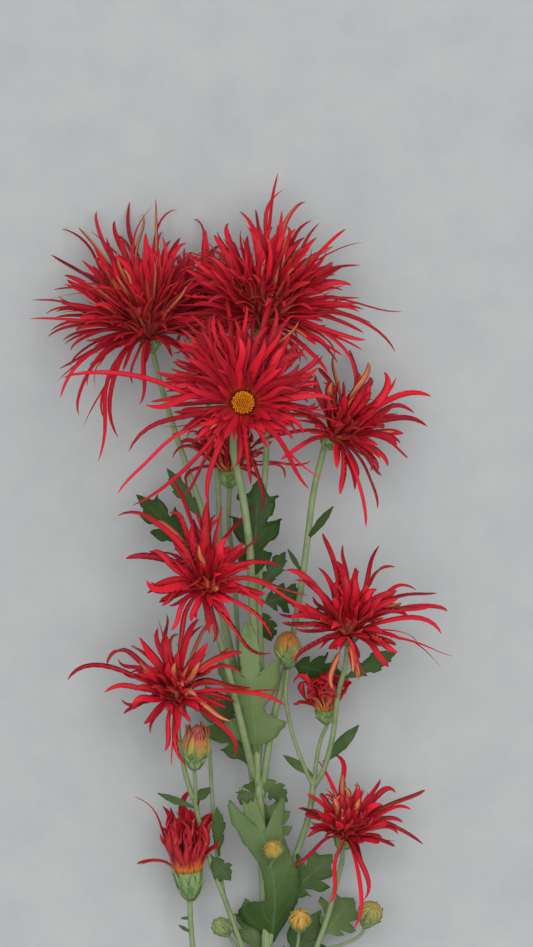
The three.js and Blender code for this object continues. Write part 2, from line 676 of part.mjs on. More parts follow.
const MATERIALS = {
  green: new THREE.MeshStandardMaterial({ color: 0x6d8a5c, roughness: 0.65, metalness: 0 }),
  crimson: new THREE.MeshStandardMaterial({ color: 0xb01a2a, roughness: 0.6, metalness: 0 }),
  yellow: new THREE.MeshStandardMaterial({ color: 0xe0a51e, roughness: 0.75, metalness: 0 }),
  bud: new THREE.MeshStandardMaterial({ color: 0xa9a04a, roughness: 0.65, metalness: 0 }),
};

const spray = new THREE.Group();

function addNode(name, solid, material) {
  const { vertProperties, triVerts } = solid.getMesh();
  const geometry = new THREE.BufferGeometry();
  geometry.setAttribute("position", new THREE.BufferAttribute(new Float32Array(vertProperties), 3));
  geometry.setIndex(new THREE.BufferAttribute(new Uint32Array(triVerts), 1));
  const mesh = new THREE.Mesh(geometry, material);
  mesh.name = name;
  spray.add(mesh);
}

// Stem, stalks, cups and leaves, fused into one leafy stem.
const leafDraw = seeded(LEAF_SEED);
const growth = Object.values(STEMS).map(({ path, radii, sides }) =>
  loft(stalkRings(path.map(vector), radii, sides)),
);
for (const [name, bloom] of Object.entries(BLOOMS)) {
  const { axis } = lean(bloom);
  growth.push(flowerStalk(name, bloom, { seat: vector(bloom.centre), axis, ...(bloom.cup ?? CUP) }));
}
for (const [name, flower] of Object.entries(BUDS)) {
  const { axis } = lean(flower);
  const size = { depth: flower.width * BUD_CUP.depth, radius: flower.width * BUD_CUP.radius };
  growth.push(flowerStalk(name, flower, { seat: vector(flower.base), axis, ...size }));
}
growth.push(...LEAVES.map((each) => leaf(each, leafDraw)));
addNode("leafy_stem", fuse(growth), MATERIALS.green);

for (const [name, flower] of Object.entries(BUDS)) {
  const frame = lean(flower);
  const top = vector(flower.base).addScaledVector(frame.axis, flower.length);
  place(name, [vector(flower.base), top], [flower.width / 2, flower.width / 2]);
  addNode(name, bud(flower, frame), MATERIALS.bud);
}

// The rays of all blooms find their way first, then the shorter petals between them.
const heads = Object.entries(BLOOMS).map(([name, bloom], index) => {
  const frame = lean(bloom);
  return { name, bloom, frame, random: seeded(BLOOM_SEED + index), lines: [] };
});
for (const { name, bloom, frame, random, lines } of heads) {
  const wishes = bloom.rays.map((ray) => rayWish(bloom, ray, frame, random));
  const props = (bloom.props ?? []).map(propWish);
  lines.push(...[...props, ...wishes].map((wish) => petalLine(name, bloom, wish, frame)));
}
for (const { name, bloom, frame, random, lines } of heads) {
  const count = bloom.petals - lines.length;
  for (let index = 0; index < count; index += 1) {
    lines.push(petalLine(name, bloom, spiralWish(bloom, count, index, frame, random), frame));
  }
}
for (const { name, bloom, frame, lines } of heads) {
  const blades = lines.filter(Boolean).map((line) => petalBlade(line, frame.axis));
  addNode(`petals_${name}`, fuse([core(bloom, frame), ...blades]), MATERIALS.crimson);
  if (bloom.disc) {
    addNode(`disc_${name}`, disc(bloom, frame), MATERIALS.yellow);
  }
}

// The origin is under the middle of the whole spray, on the surface that it lies on.
const box = new THREE.Box3().setFromObject(spray);
const middle = box.getCenter(new THREE.Vector3());
spray.position.set(-middle.x, -middle.y, -box.min.z);

export default spray;
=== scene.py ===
import math

import bpy
import numpy as np
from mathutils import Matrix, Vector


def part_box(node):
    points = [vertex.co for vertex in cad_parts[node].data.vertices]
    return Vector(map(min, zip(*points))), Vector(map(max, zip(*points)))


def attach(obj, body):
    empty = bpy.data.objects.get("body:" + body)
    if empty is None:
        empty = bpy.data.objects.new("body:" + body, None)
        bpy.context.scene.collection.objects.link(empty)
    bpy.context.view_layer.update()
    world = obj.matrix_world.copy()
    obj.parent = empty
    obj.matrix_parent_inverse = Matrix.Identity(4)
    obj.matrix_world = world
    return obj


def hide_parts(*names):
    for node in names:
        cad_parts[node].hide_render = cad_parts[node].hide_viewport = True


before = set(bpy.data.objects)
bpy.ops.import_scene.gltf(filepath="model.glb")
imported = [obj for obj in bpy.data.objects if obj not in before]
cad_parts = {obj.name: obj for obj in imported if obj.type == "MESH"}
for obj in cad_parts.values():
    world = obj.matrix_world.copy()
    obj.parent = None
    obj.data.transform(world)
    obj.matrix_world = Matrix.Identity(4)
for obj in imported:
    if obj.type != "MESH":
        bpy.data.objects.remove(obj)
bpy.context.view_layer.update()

# View and light
# The spray lies on a plain pale table top and the camera looks straight down on it, square to
# the way it grew. The layout below is in millimetres: X across, Y from the cut end to the
# crown, Z up from the table. Angles are in degrees.
MM = 0.001
UP = np.array([0.0, 0.0, 1.0])
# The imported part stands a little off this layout, by as much as the heart of its front flower.
DISC_MIDDLE = np.array([-9.75, 228.44, 0.0])
low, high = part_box("disc_front")
SHIFT = np.array([(low.x + high.x) / 2, (low.y + high.y) / 2, 0.0]) / MM - DISC_MIDDLE
VIEW_MIDDLE = np.array([0.0, 198.9])
VIEW_HEIGHT = 397.7
LENS = 400.0
SENSOR = 36.0
FOCUS_HEIGHT = 55.0


def in_metres(points):
    """Layout millimetres as metres in the part's own frame."""
    return (np.asarray(points, float) + SHIFT) * MM


def linear(hex_colour):
    """An sRGB hex colour as linear red, green and blue with alpha."""
    shares = [int(hex_colour[i : i + 2], 16) / 255 for i in (1, 3, 5)]
    return (*(s / 12.92 if s <= 0.04045 else ((s + 0.055) / 1.055) ** 2.4 for s in shares), 1.0)


def add_node(tree, kind, settings=None, links=None):
    """A shader node with its settings, by property or by input, and its incoming links. A link
    that names a node comes from the first of its outputs that is in use. A Mix node mixes the
    colours at its inputs 6 and 7."""
    node = tree.nodes.new("ShaderNode" + kind)
    if kind == "Mix":
        node.data_type = "RGBA"
    for key, value in (settings or {}).items():
        if isinstance(value, str) and value.startswith("#"):
            value = linear(value)
        if isinstance(key, str) and hasattr(node, key) and key not in node.inputs:
            setattr(node, key, value)
        else:
            node.inputs[key].default_value = value
    for key, source in (links or {}).items():
        if isinstance(source, bpy.types.Node):
            source = next(output for output in source.outputs if output.enabled)
        tree.links.new(source, node.inputs[key])
    return node


def new_material(name):
    """A material and its node tree, still empty."""
    material = bpy.data.materials.new(name)
    material.use_nodes = True
    material.node_tree.nodes.clear()
    return material, material.node_tree


camera_data = bpy.data.cameras.new("camera")
camera = bpy.data.objects.new("camera", camera_data)
bpy.context.scene.collection.objects.link(camera)
bpy.context.scene.camera = camera
camera_data.lens = LENS
camera_data.sensor_width = SENSOR
camera_data.clip_end = 50.0
camera.location = in_metres([*VIEW_MIDDLE, FOCUS_HEIGHT + VIEW_HEIGHT * LENS / SENSOR])

# Painted table top: fine plaster-like mottling, matt.
TABLE_SIZE = 12.0
painted, tree = new_material("painted_table_top")
place = add_node(tree, "TexCoord")
mottle = add_node(tree, "TexNoise", {"Scale": 34.0, "Detail": 8.0, "Roughness": 0.66},
                  {"Vector": place.outputs["Object"]})
tint = add_node(tree, "Mix", {6: "#A5A9AC", 7: "#C1C2C2"}, {"Factor": mottle})
paint = add_node(tree, "BsdfPrincipled", {"Roughness": 0.85}, {"Base Color": tint})
add_node(tree, "OutputMaterial", links={"Surface": paint})
bpy.ops.mesh.primitive_plane_add(size=TABLE_SIZE)
table = bpy.context.object
table.name = "table_top"
table.data.materials.append(painted)

# Soft studio light: an even pale room and one large soft lamp above the open flowers.
LAMP_PLACE = (0.1, 0.15, 1.9)
LAMP_TURN = (-4, 3, 0)
LAMP_SIZE = 1.3
LAMP_POWER = 25.5
ROOM_LIGHT = 0.47
world = bpy.data.worlds.new("room")
world.use_nodes = True
bpy.context.scene.world = world
world.node_tree.nodes["Background"].inputs["Color"].default_value = linear("#F6F7F6")
world.node_tree.nodes["Background"].inputs["Strength"].default_value = ROOM_LIGHT
lamp_data = bpy.data.lights.new("soft_lamp", "AREA")
lamp_data.size = LAMP_SIZE
lamp_data.energy = LAMP_POWER
lamp = bpy.data.objects.new("soft_lamp", lamp_data)
lamp.location = LAMP_PLACE
lamp.rotation_euler = np.radians(LAMP_TURN)
bpy.context.scene.collection.objects.link(lamp)
bpy.context.scene.view_settings.view_transform = "Standard"

# Stems and flower stalks
# The spray is one branched green stem, firm, ribbed lengthways and finely downy. Each stalk is
# drawn from one straight ribbed rod, which is laid along the route that the stalk grew.
# Each stem has its radius at the foot and at the tip, and the points of its route.
STEMS = {
    "main": [2.6, 2.1, [
        [-2, -127, 2.3], [-3, -77, 8], [-2, -35, 13], [0, -5, 18], [-1, 28, 24], [-4, 72, 32],
    ]],
    "upper": [1.7, 1.5, [[-5, 66, 31], [-11, 104, 33], [-19, 141, 36], [-22, 155, 37]]],
    "right": [1.5, 1.3, [[0, -4, 18], [6, 18, 24], [13, 39, 28], [18, 55, 32], [20, 70, 36]]],
    "left": [1.2, 1.05, [
        [-2, -36, 13], [-7, -10, 18], [-12, 3, 22], [-18, 20, 26], [-23, 33, 30], [-28, 51, 36],
        [-31, 64, 42],
    ]],
    "low_right": [1.4, 1.3, [[0, -20, 15], [12, -10, 20], [22, -1, 24]]],
    "side": [0.95, 0.8, [[-18, 20, 26], [-21, 39, 25], [-23, 62, 23], [-24, 82, 21]]],
}

# Open and half-open blooms. The seat is where the flower sits on its stalk. Its axis leans tilt
# degrees from straight up towards turn, which is counted from X towards Y. The disc is the
# radius of the heart, and a half-open bloom has none but a ring that its petals stand on. The
# part's own petals stand open degrees off the axis at most. A ray is one long petal as seen from
# above: its direction, how far its tip reaches from the seat and how far it bends on the way.
# Props are petal tips that touch the table. Extra petals stand between these and are as long as
# between says, from wide degrees off the axis to that share of it that is inmost. They reach
# furthest towards turn or toward, only the share behind on the other side, and fan says how fast
# they fall off. Bare is the sector with hardly any of them, and gilt the one where many are
# turned over. Broad, wild and light say how wide, how crooked and how bright the petals are.
# What most blooms have in common stands first.
COMMON = {
    "disc": 2.4, "open": 105, "wide": 100, "inmost": 0.12, "wild": 1, "light": 1.3, "behind": 0.78,
    "fan": 2, "bare": [0, 0], "gilt": [0, 0],
}
BLOOMS = {
    "front": {
        "seat": [-10, 228, 88], "turn": 60, "tilt": 10, "disc": 4.6, "petals": 37, "length": 36,
        "open": 100, "extra": 180, "between": 43, "wide": 98, "inmost": 0.45, "toward": 105,
        "behind": 0.5, "fan": 0.8, "broad": 0.98, "wild": 0.8, "light": 1.1, "bare": [238, 300],
        "radius": 1.8, "path": [
            [-4, 66, 31], [-4, 87, 38], [-4, 112, 46], [-6, 146, 56], [-7, 167, 61], [-10, 190, 65],
            [-14, 210, 68],
        ],
        "rays": [
            [2, 38, -10], [15, 33, -20], [31, 39, 5], [46, 35, 15], [60, 43, 15], [72, 43, 12],
            [88, 31, 5], [98, 34, 0], [114, 38, 15], [127, 36, 45], [150, 34, 10], [167, 34, 10],
            [172, 75, -6], [181, 40, 45], [203, 51, 20], [216, 64, 28], [223, 62, -22], [237, 47, 30],
            [252, 45, 50], [264, 26, 8], [276, 34, 10], [279, 46, 20], [308, 45, -30], [330, 26, -15],
            [347, 43, -5],
        ],
    },
    "crown_left": {
        "seat": [-49, 256, 45], "turn": 100, "tilt": 55, "petals": 36, "length": 38, "extra": 210,
        "between": 51, "inmost": 0.15, "broad": 0.85, "wild": 0.6, "light": 1.05, "bare": [262, 300],
        "gilt": [85, 125],
        "radius": 1.3, "path": [
            [-22, 152, 37], [-26, 179, 38], [-33, 200, 38], [-40, 221, 37], [-45, 238, 37],
        ],
        "rays": [
            [40, 33, -5], [68, 38, 15], [79, 56, -20], [84, 46, 0], [88, 59, 6], [94, 53, -40],
            [99, 59, 15], [107, 52, 5], [110, 48, 30], [113, 59, -15], [123, 56, 5], [129, 60, -25],
            [140, 55, -5], [153, 46, 30], [162, 52, 8], [167, 45, 0], [171, 51, -8], [184, 36, 15],
            [214, 45, 55], [228, 44, 65], [241, 39, 25], [248, 56, 55], [253, 44, 60], [352, 22, -30],
        ],
        "props": [[-68, 262], [-52, 280]],
    },
    "crown_right": {
        "seat": [-2, 261, 57], "turn": 80, "tilt": 50, "petals": 34, "length": 38, "extra": 220,
        "between": 51, "inmost": 0.15, "broad": 0.9, "wild": 0.6, "light": 1.7, "bare": [230, 290],
        "gilt": [60, 90],
        "radius": 1.4, "path": [
            [-4, 68, 31], [-2, 104, 38], [-3, 141, 43], [-2, 179, 44], [0, 213, 44], [-2, 240, 46],
        ],
        "rays": [
            [1, 46, -15], [6, 59, -18], [10, 31, -20], [20, 35, -5], [26, 39, -12], [32, 49, -25],
            [43, 40, 10], [49, 54, 5], [61, 50, 0], [65, 49, -8], [71, 56, -22], [77, 44, 20],
            [80, 49, 10], [81, 59, -30], [84, 65, -22], [93, 50, 8], [101, 49, 25], [108, 46, -40],
            [330, 45, -80], [338, 33, -50], [349, 57, -45], [352, 44, 10],
        ],
    },
    "right": {
        "seat": [28, 214, 48], "turn": 45, "tilt": 50, "petals": 30, "length": 34, "extra": 56,
        "between": 34, "wide": 98, "broad": 1.1, "wild": 0.8, "bare": [205, 262], "gilt": [40, 105],
        "radius": 1.5, "path": [
            [-2, 62, 30], [2, 91, 36], [8, 116, 39], [13, 141, 41], [17, 169, 41], [20, 192, 40],
        ],
        "rays": [
            [7, 40, -25], [17, 36, -25], [23, 45, -25], [40, 30, 10], [52, 35, 90], [59, 30, -15],
            [65, 35, -25], [79, 38, 15], [89, 35, 5], [102, 30, 10], [182, 30, 5], [203, 24, 20],
            [277, 24, -10], [290, 40, 5], [302, 35, -12], [322, 26, 10], [345, 33, -45],
            [351, 27, -15],
        ],
        "props": [[48, 222], [38, 232]],
    },
    "middle_left": {
        "seat": [-25, 151, 76], "turn": 95, "tilt": 32, "petals": 30, "length": 30, "extra": 52,
        "between": 33, "broad": 1.15, "bare": [255, 275],
        "radius": 1.6, "path": [
            [-5, 70, 32], [-9, 87, 46], [-14, 108, 56], [-19, 127, 63], [-23, 139, 68],
        ],
        "rays": [
            [17, 32, -60], [44, 31, 10], [61, 40, -50], [80, 35, -5], [89, 37, 0], [97, 30, 5],
            [108, 48, 25], [117, 35, 12], [128, 35, 20], [141, 48, 45], [160, 36, 55], [185, 25, 80],
            [201, 20, 90], [230, 23, 70], [243, 27, 40], [268, 18, 10], [305, 20, 0], [315, 38, 75],
            [323, 34, -10], [350, 44, -60], [356, 42, -35],
        ],
    },
    "lower_left": {
        "seat": [-37, 105, 60], "turn": 115, "tilt": 35, "petals": 28, "length": 28, "extra": 48,
        "between": 31, "broad": 1.12, "bare": [255, 275], "gilt": [55, 95],
        "radius": 1.1, "path": [[-31, 62, 42], [-34, 72, 46], [-36, 83, 50], [-37, 93, 53]],
        "rays": [
            [8, 31, -60], [22, 28, -85], [35, 33, -45], [67, 37, -12], [75, 34, -15], [85, 36, 0],
            [98, 35, -45], [107, 30, 10], [133, 29, 20], [148, 30, 25], [158, 33, 60], [171, 47, 38],
            [176, 31, 20], [197, 24, 15], [217, 18, 10], [256, 23, 35], [276, 28, 30], [314, 34, -60],
            [337, 24, -25], [356, 45, -30],
        ],
    },
    "middle_right": {
        "seat": [34, 132, 66], "turn": 90, "tilt": 42, "petals": 30, "length": 30, "extra": 52,
        "between": 33, "wide": 95, "broad": 1.15, "wild": 0.9, "bare": [235, 262], "gilt": [250, 290],
        "radius": 1.2, "path": [
            [20, 67, 35], [24, 74, 40], [28, 89, 46], [30, 106, 52], [33, 118, 57],
        ],
        "rays": [
            [0, 39, -30], [12, 43, -15], [18, 38, -15], [24, 41, -45], [32, 34, -20], [54, 34, -35],
            [70, 39, 10], [84, 27, -5], [93, 37, 8], [104, 43, 0], [114, 30, 5], [122, 26, -10],
            [134, 37, 40], [164, 30, 20], [208, 25, -10], [255, 24, 8], [283, 20, -10], [321, 22, -5],
            [340, 22, -12], [348, 45, -5],
        ],
    },
    "lower_right": {
        "seat": [33, 46, 46], "turn": 75, "tilt": 50, "petals": 23, "length": 24, "open": 100,
        "extra": 60, "between": 26, "wide": 85, "broad": 1.05, "bare": [215, 300], "gilt": [60, 130],
        "radius": 1.2, "path": [[21, -2, 24], [26, 12, 27], [30, 28, 32], [32, 36, 37]],
        "rays": [
            [14, 25, -30], [23, 30, -10], [29, 39, 30], [40, 28, -20], [58, 28, -8], [79, 22, -10],
            [92, 26, 0], [99, 35, -5], [110, 34, 0], [132, 24, 0], [180, 16, 55], [208, 24, 12],
            [257, 28, 30], [275, 38, -5], [286, 27, -25], [354, 33, -50],
        ],
    },
    "crown_back": {
        "seat": [-30, 260, 26], "turn": 80, "tilt": 60, "petals": 20, "length": 34, "open": 100,
        "extra": 44, "between": 38, "wide": 95, "inmost": 0.15, "broad": 1.0, "wild": 0.7,
        "radius": 1.2, "path": [
            [-20, 148, 36], [-20, 179, 31], [-22, 213, 26], [-27, 238, 22],
        ],
        "rays": [[63, 34, -30], [73, 38, -40], [79, 35, -20], [84, 42, 15], [91, 47, 25], [98, 35, 5]],
    },
    "hidden": {
        "seat": [-16, 200, 29], "turn": 95, "tilt": 75, "disc": 0, "ring": 2.6, "petals": 14,
        "length": 24, "open": 62, "extra": 56, "between": 27, "wide": 72, "inmost": 0.1, "broad": 0.8,
        "wild": 1.8,
        "radius": 1.1, "path": [
            [-10, 100, 33], [-12, 130, 31], [-14, 160, 28], [-16, 180, 27],
        ],
        "rays": [
            [7, 35, 15], [40, 24, 0], [134, 24, 0], [167, 24, 20], [200, 18, 60], [319, 18, -90],
            [352, 24, -20],
        ],
    },
    "back_right": {
        "seat": [25, 99, 37], "turn": 95, "tilt": 75, "disc": 0, "ring": 3.2, "petals": 12,
        "length": 17, "open": 55, "extra": 50, "between": 18, "wide": 48, "inmost": 0.1, "broad": 0.85,
        "wild": 2.2,
        "radius": 0.95, "path": [[20, 66, 35], [21, 77, 36], [23, 87, 37]],
        "rays": [[48, 14, 0], [80, 17, 0], [117, 15, 0], [168, 14, 40]],
    },
    "lower_young": {
        "seat": [-33, 31, 32], "turn": 95, "tilt": 75, "disc": 0, "ring": 5.4, "petals": 14,
        "length": 25, "open": 50, "extra": 56, "between": 27, "wide": 30, "inmost": 0.1, "broad": 1.15,
        "light": 0.4,
        "radius": 1.3, "path": [[-2, -56, 11], [-17, -31, 14], [-29, -12, 20], [-32, 8, 26]],
        "rays": [
            [65, 26, -60], [80, 32, 12], [88, 34, -20], [112, 29, 0], [126, 39, 35], [172, 22, 55],
        ],
    },
}
BLOOMS = {name: COMMON | bloom for name, bloom in BLOOMS.items()}

# Buds sit on their stalks in the same way. Length and width are those of the egg they make.
BUDS = {
    "bud_middle": {
        "seat": [9, 122, 47], "turn": 92, "tilt": 60, "length": 12, "width": 11,
        "radius": 0.9, "path": [[20, 66, 35], [14, 80, 38], [10, 93, 41], [8, 106, 43]],
    },
    "bud_opening": {
        "seat": [-30, 80, 52], "turn": 85, "tilt": 62, "length": 15, "width": 12,
        "radius": 0.9, "path": [[-30, 60, 40.5], [-30, 70, 47]],
    },
    "bud_centre": {
        "seat": [3, 39, 44], "turn": 95, "tilt": 35, "length": 8, "width": 8,
        "radius": 0.8, "path": [[-1, 24, 23], [1, 32, 33]],
    },
    "bud_low": {
        "seat": [14, 9, 36], "turn": 85, "tilt": 35, "length": 9, "width": 9,
        "radius": 0.8, "path": [[0, -20, 15], [9, -10, 21], [13, -1, 27]],
    },
    "bud_right": {
        "seat": [43, 11, 28], "turn": 70, "tilt": 45, "length": 9.5, "width": 10,
        "radius": 0.8, "path": [[20, -3, 23], [33, 0, 23], [40, 4, 24]],
    },
    "bud_left": {
        "seat": [-18, 6, 25], "turn": 130, "tilt": 45, "length": 7, "width": 7.5,
        "radius": 0.8, "path": [[-7, -10, 18], [-12, -3, 19]],
    },
}


def unit(vectors):
    vectors = np.asarray(vectors, float)
    return vectors / np.linalg.norm(vectors, axis=-1, keepdims=True)


def across_way(vector, way):
    """The part of a vector that is square to a way, as a unit vector."""
    return unit(vector - np.sum(vector * way, axis=-1, keepdims=True) * way)


def lean(flower):
    """The ways of a flower: along its axis and the two across it."""
    turn, tilt = math.radians(flower["turn"]), math.radians(flower["tilt"])
    axis = np.array([math.sin(tilt) * math.cos(turn), math.sin(tilt) * math.sin(turn), math.cos(tilt)])
    across = unit(np.cross([0.0, 1.0, 0.0], axis))
    return axis, across, np.cross(axis, across)


def around(ways, angle):
    """The way straight out from an axis, at an angle round it."""
    return math.cos(angle) * ways[1] + math.sin(angle) * ways[2]


def route(points, steps):
    """Evenly spaced points on a smooth route through the given ones."""
    points = np.asarray(points, float)
    knots = np.concatenate([[0], np.cumsum(np.linalg.norm(np.diff(points, axis=0), axis=1) ** 0.5)])
    slopes = np.gradient(points, knots, axis=0)
    fine = np.linspace(0, knots[-1], 200)
    at = np.clip(np.searchsorted(knots, fine, side="right") - 1, 0, len(knots) - 2)
    span = (knots[at + 1] - knots[at])[:, None]
    t = (fine[:, None] - knots[at][:, None]) / span
    dense = (
        (2 * t**3 - 3 * t**2 + 1) * points[at]
        + (t**3 - 2 * t**2 + t) * span * slopes[at]
        + (3 * t**2 - 2 * t**3) * points[at + 1]
        + (t**3 - t**2) * span * slopes[at + 1]
    )
    gone = np.concatenate([[0], np.cumsum(np.linalg.norm(np.diff(dense, axis=0), axis=1))])
    wanted = np.linspace(0, gone[-1], steps + 1)
    return np.stack([np.interp(wanted, gone, dense[:, k]) for k in range(3)], axis=1)


def straight_rod(name, sides, steps):
    """A straight rod of unit radius and unit length along Y, cut into even lengths."""
    bpy.ops.object.select_all(action="DESELECT")
    bpy.ops.mesh.primitive_cylinder_add(vertices=sides, radius=1, depth=1, end_fill_type="NGON",
                                        location=(0, 0.5, 0), rotation=(-math.pi / 2, 0, 0))
    rod = bpy.context.object
    rod.name = name
    bpy.ops.object.transform_apply(location=True, rotation=True, scale=True)
    bpy.ops.object.mode_set(mode="EDIT")
    for cut in range(1, steps):
        bpy.ops.mesh.select_all(action="SELECT")
        bpy.ops.mesh.bisect(plane_co=(0, cut / steps, 0), plane_no=(0, 1, 0))
    bpy.ops.mesh.select_all(action="SELECT")
    bpy.ops.mesh.normals_make_consistent(inside=False)
    bpy.ops.object.mode_set(mode="OBJECT")
    bpy.ops.object.shade_smooth()
    return rod


def places(piece):
    """A piece's vertices as an array."""
    found = np.empty(len(piece.data.vertices) * 3)
    piece.data.vertices.foreach_get("co", found)
    return found.reshape(-1, 3)


def wrap_uv(piece, corner_u):
    """Writes a UV map: U as given for each corner of each face, V along the straight piece."""
    layer = piece.data.uv_layers.active or piece.data.uv_layers.new(name="UVMap")
    along = places(piece)[:, 1]
    for face in piece.data.polygons:
        for loop in face.loop_indices:
            vertex = piece.data.loops[loop].vertex_index
            layer.data[loop].uv = (corner_u(face, vertex), along[vertex])


def placed(straight, name, spots, tone=None):
    """A copy of a straight piece with its vertices at new spots and a shade of its own."""
    piece = bpy.data.objects.new(name, straight.data.copy())
    piece.data.vertices.foreach_set("co", in_metres(spots).ravel())
    bpy.context.scene.collection.objects.link(piece)
    if tone is not None:
        shade = piece.data.attributes.new("tone", "FLOAT", "POINT")
        shade.data.foreach_set("value", np.full(len(spots), tone))
    return piece


def laid(straight, name, points, normals, section, tone=None):
    """A copy of a straight piece laid along a row of points, with one normal or one for each.
    The section tells, by the place and the row of its vertices, how far they lie to the side
    of the points and above them."""
    spots = places(straight)
    rows = np.rint(spots[:, 1] * (len(points) - 1)).astype(int)
    aside, raised = section(spots, rows)
    ways = unit(np.gradient(points, axis=0))
    above = across_way(normals, ways)
    side = np.cross(ways, above)
    spots = points[rows] + side[rows] * aside[:, None] + above[rows] * raised[:, None]
    return placed(straight, name, spots, tone)


def bar(straight, name, points, normals, radii, tone=None):
    """A round piece laid along a row of points, with its radius at each of them."""
    return laid(straight, name, points, normals, lambda spots, rows: spots[:, ::2].T * radii[rows], tone)


def steady_normals(points):
    """Normals that turn as little as they can along a row of points."""
    ways = unit(np.gradient(points, axis=0))
    start = UP if abs(ways[0] @ UP) < 0.9 else np.array([1.0, 0.0, 0.0])
    normals = [across_way(start, ways[0])]
    for way in ways[1:]:
        normals.append(across_way(normals[-1], way))
    return np.array(normals)


def joined(name, parts):
    """Like pieces as one mesh."""
    bpy.ops.object.select_all(action="DESELECT")
    for part in parts:
        part.select_set(True)
    bpy.context.view_layer.objects.active = parts[0]
    bpy.ops.object.join()
    piece = bpy.context.object
    piece.name = name
    piece.data.name = name
    return piece


def dressed(piece, nodes, slot, *materials):
    """The finish, body and CAD nodes of a finished piece."""
    piece.data.materials.clear()
    for material in materials:
        piece.data.materials.append(material)
    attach(piece, "root")
    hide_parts(*nodes)


ROD_SIDES = 12
ROD_STEPS = 28
RIB_DEPTH = 0.1
STALK_TAPER = 0.85
# How deep the cup is that a stalk widens into, and for a bud as a share of its width.
CUP_DEPTH = 6.5
BUD_CUP_DEPTH = 0.5

rod = straight_rod("straight_stalk", ROD_SIDES, ROD_STEPS)
turns = np.arctan2(places(rod)[:, 2], places(rod)[:, 0])


def round_share(face, vertex):
    """The share of the way round a rod, unbroken across each face."""
    middle = math.atan2(face.center.z, face.center.x)
    off = (turns[vertex] - middle + math.pi) % (2 * math.pi) - math.pi
    return (middle + off) / (2 * math.pi)


wrap_uv(rod, round_share)
ribs = 1 - RIB_DEPTH * (np.rint(turns / (2 * math.pi) * ROD_SIDES).astype(int) % 2)
ribbed_spots = np.stack([np.cos(turns) * ribs, places(rod)[:, 1], np.sin(turns) * ribs], axis=1)
rod.data.vertices.foreach_set("co", ribbed_spots.ravel())


def stalk(name, path, thick, thin):
    """A ribbed rod laid along a path, kept above the table, with its radius at either end."""
    points = route(path, ROD_STEPS)
    radii = np.linspace(thick, thin, ROD_STEPS + 1)
    points[:, 2] = np.maximum(points[:, 2], radii)
    return bar(rod, name, points, steady_normals(points), radii)


# Green stem skin: sage green with paler ribs, matt and slightly waxy. Its stripes are one for
# each rib and its grain about 1.5 mm long.
RIBS = ROD_SIDES / 2
stem_skin, tree = new_material("chrysanthemum_stem_skin")
wrap = add_node(tree, "TexCoord")
round_it = add_node(tree, "Mapping", {"Scale": (RIBS, 0.6, 1)}, {"Vector": wrap.outputs["UV"]})
stripes = add_node(tree, "TexWave", {"Scale": 1.0, "Distortion": 0.6, "Detail": 2.0}, {"Vector": round_it})
grain = add_node(tree, "TexNoise", {"Scale": 1 / (6 * MM), "Detail": 4.0},
                 {"Vector": wrap.outputs["Object"]})
ribbed = add_node(tree, "Mix", {6: "#758B58", 7: "#B0BD96"}, {"Factor": stripes.outputs["Fac"]})
blotch = add_node(tree, "Mix", {"blend_type": "MULTIPLY", "Factor": 0.35, 7: "#C9D6A6"}, {6: ribbed})
dark_grain = add_node(tree, "MapRange", {"From Min": 0.45, "From Max": 0.75, "To Max": 0.6},
                      {"Value": grain})
shade = add_node(tree, "Mix", {7: "#5F7A4C"}, {"Factor": dark_grain, 6: blotch})
rib_bump = add_node(tree, "Bump", {"Strength": 0.5, "Distance": 0.2 * MM},
                    {"Height": stripes.outputs["Fac"]})
skin = add_node(tree, "BsdfPrincipled",
                {"Roughness": 0.55, "IOR": 1.42, "Subsurface Weight": 0.1, "Subsurface Scale": 1 * MM},
                {"Base Color": shade, "Normal": rib_bump})
add_node(tree, "OutputMaterial", links={"Surface": skin})

stalks = [stalk(name, path, thick, thin) for name, (thick, thin, path) in STEMS.items()]
for name, flower in (BLOOMS | BUDS).items():
    depth = flower["width"] * BUD_CUP_DEPTH if name in BUDS else CUP_DEPTH
    foot = flower["seat"] - lean(flower)[0] * depth
    stalks.append(stalk(name, [*flower["path"], foot], flower["radius"], flower["radius"] * STALK_TAPER))
stems = joined("stems_and_stalks", stalks)
dressed(stems, ["leafy_stem"], "leaf_green", stem_skin)

# Green cups
# Under every flower and bud the stalk widens into a cup of small overlapping green scales.
# They grew on it in three rings, each scale a short stiff blade with a thin paler edge.
BLADE_STEPS = 12
SHORT_STEPS = 5
EDGE = 0.4
BLADE_THICKNESS = 0.4
THINNING = (0.25, 1.0)


def straight_blade(name, steps):
    """A straight blade of five corners round: a flat face and a reverse with a low keel meet
    in two thin edges."""
    blank = straight_rod(name, 5, steps)
    spots = places(blank)
    from_keel = (np.degrees(np.arctan2(spots[:, 2], spots[:, 0])) + 90) % 360
    corners = np.array([[0, -1], [1, 0], [EDGE, 0], [-EDGE, 0], [-1, 0]])
    spots[:, [0, 2]] = corners[np.rint(from_keel / 72).astype(int) % 5]
    blank.data.vertices.foreach_set("co", spots.ravel())

    def side_share(face, vertex):
        reverse = any(spots[v, 2] < 0 for v in face.vertices)
        return (spots[vertex, 0] + 1) / 2 + (1 if reverse else 0)

    wrap_uv(blank, side_share)
    return blank


long_blade = straight_blade("straight_petal", BLADE_STEPS)
short_blade = straight_blade("straight_scale", SHORT_STEPS)


def blade(straight, name, points, normals, widths, hollow, tone, thickness=BLADE_THICKNESS):
    """A blade laid along a row of points, with its width at each of them. The hollow says how
    far its edges rise, as a share of its half width."""

    def section(spots, rows):
        half = widths[rows] / 2
        body = spots[:, 2] * thickness * np.clip(half, *THINNING)
        return spots[:, 0] * half, hollow * half * spots[:, 0] ** 2 + body

    return laid(straight, name, points, normals, section, tone)


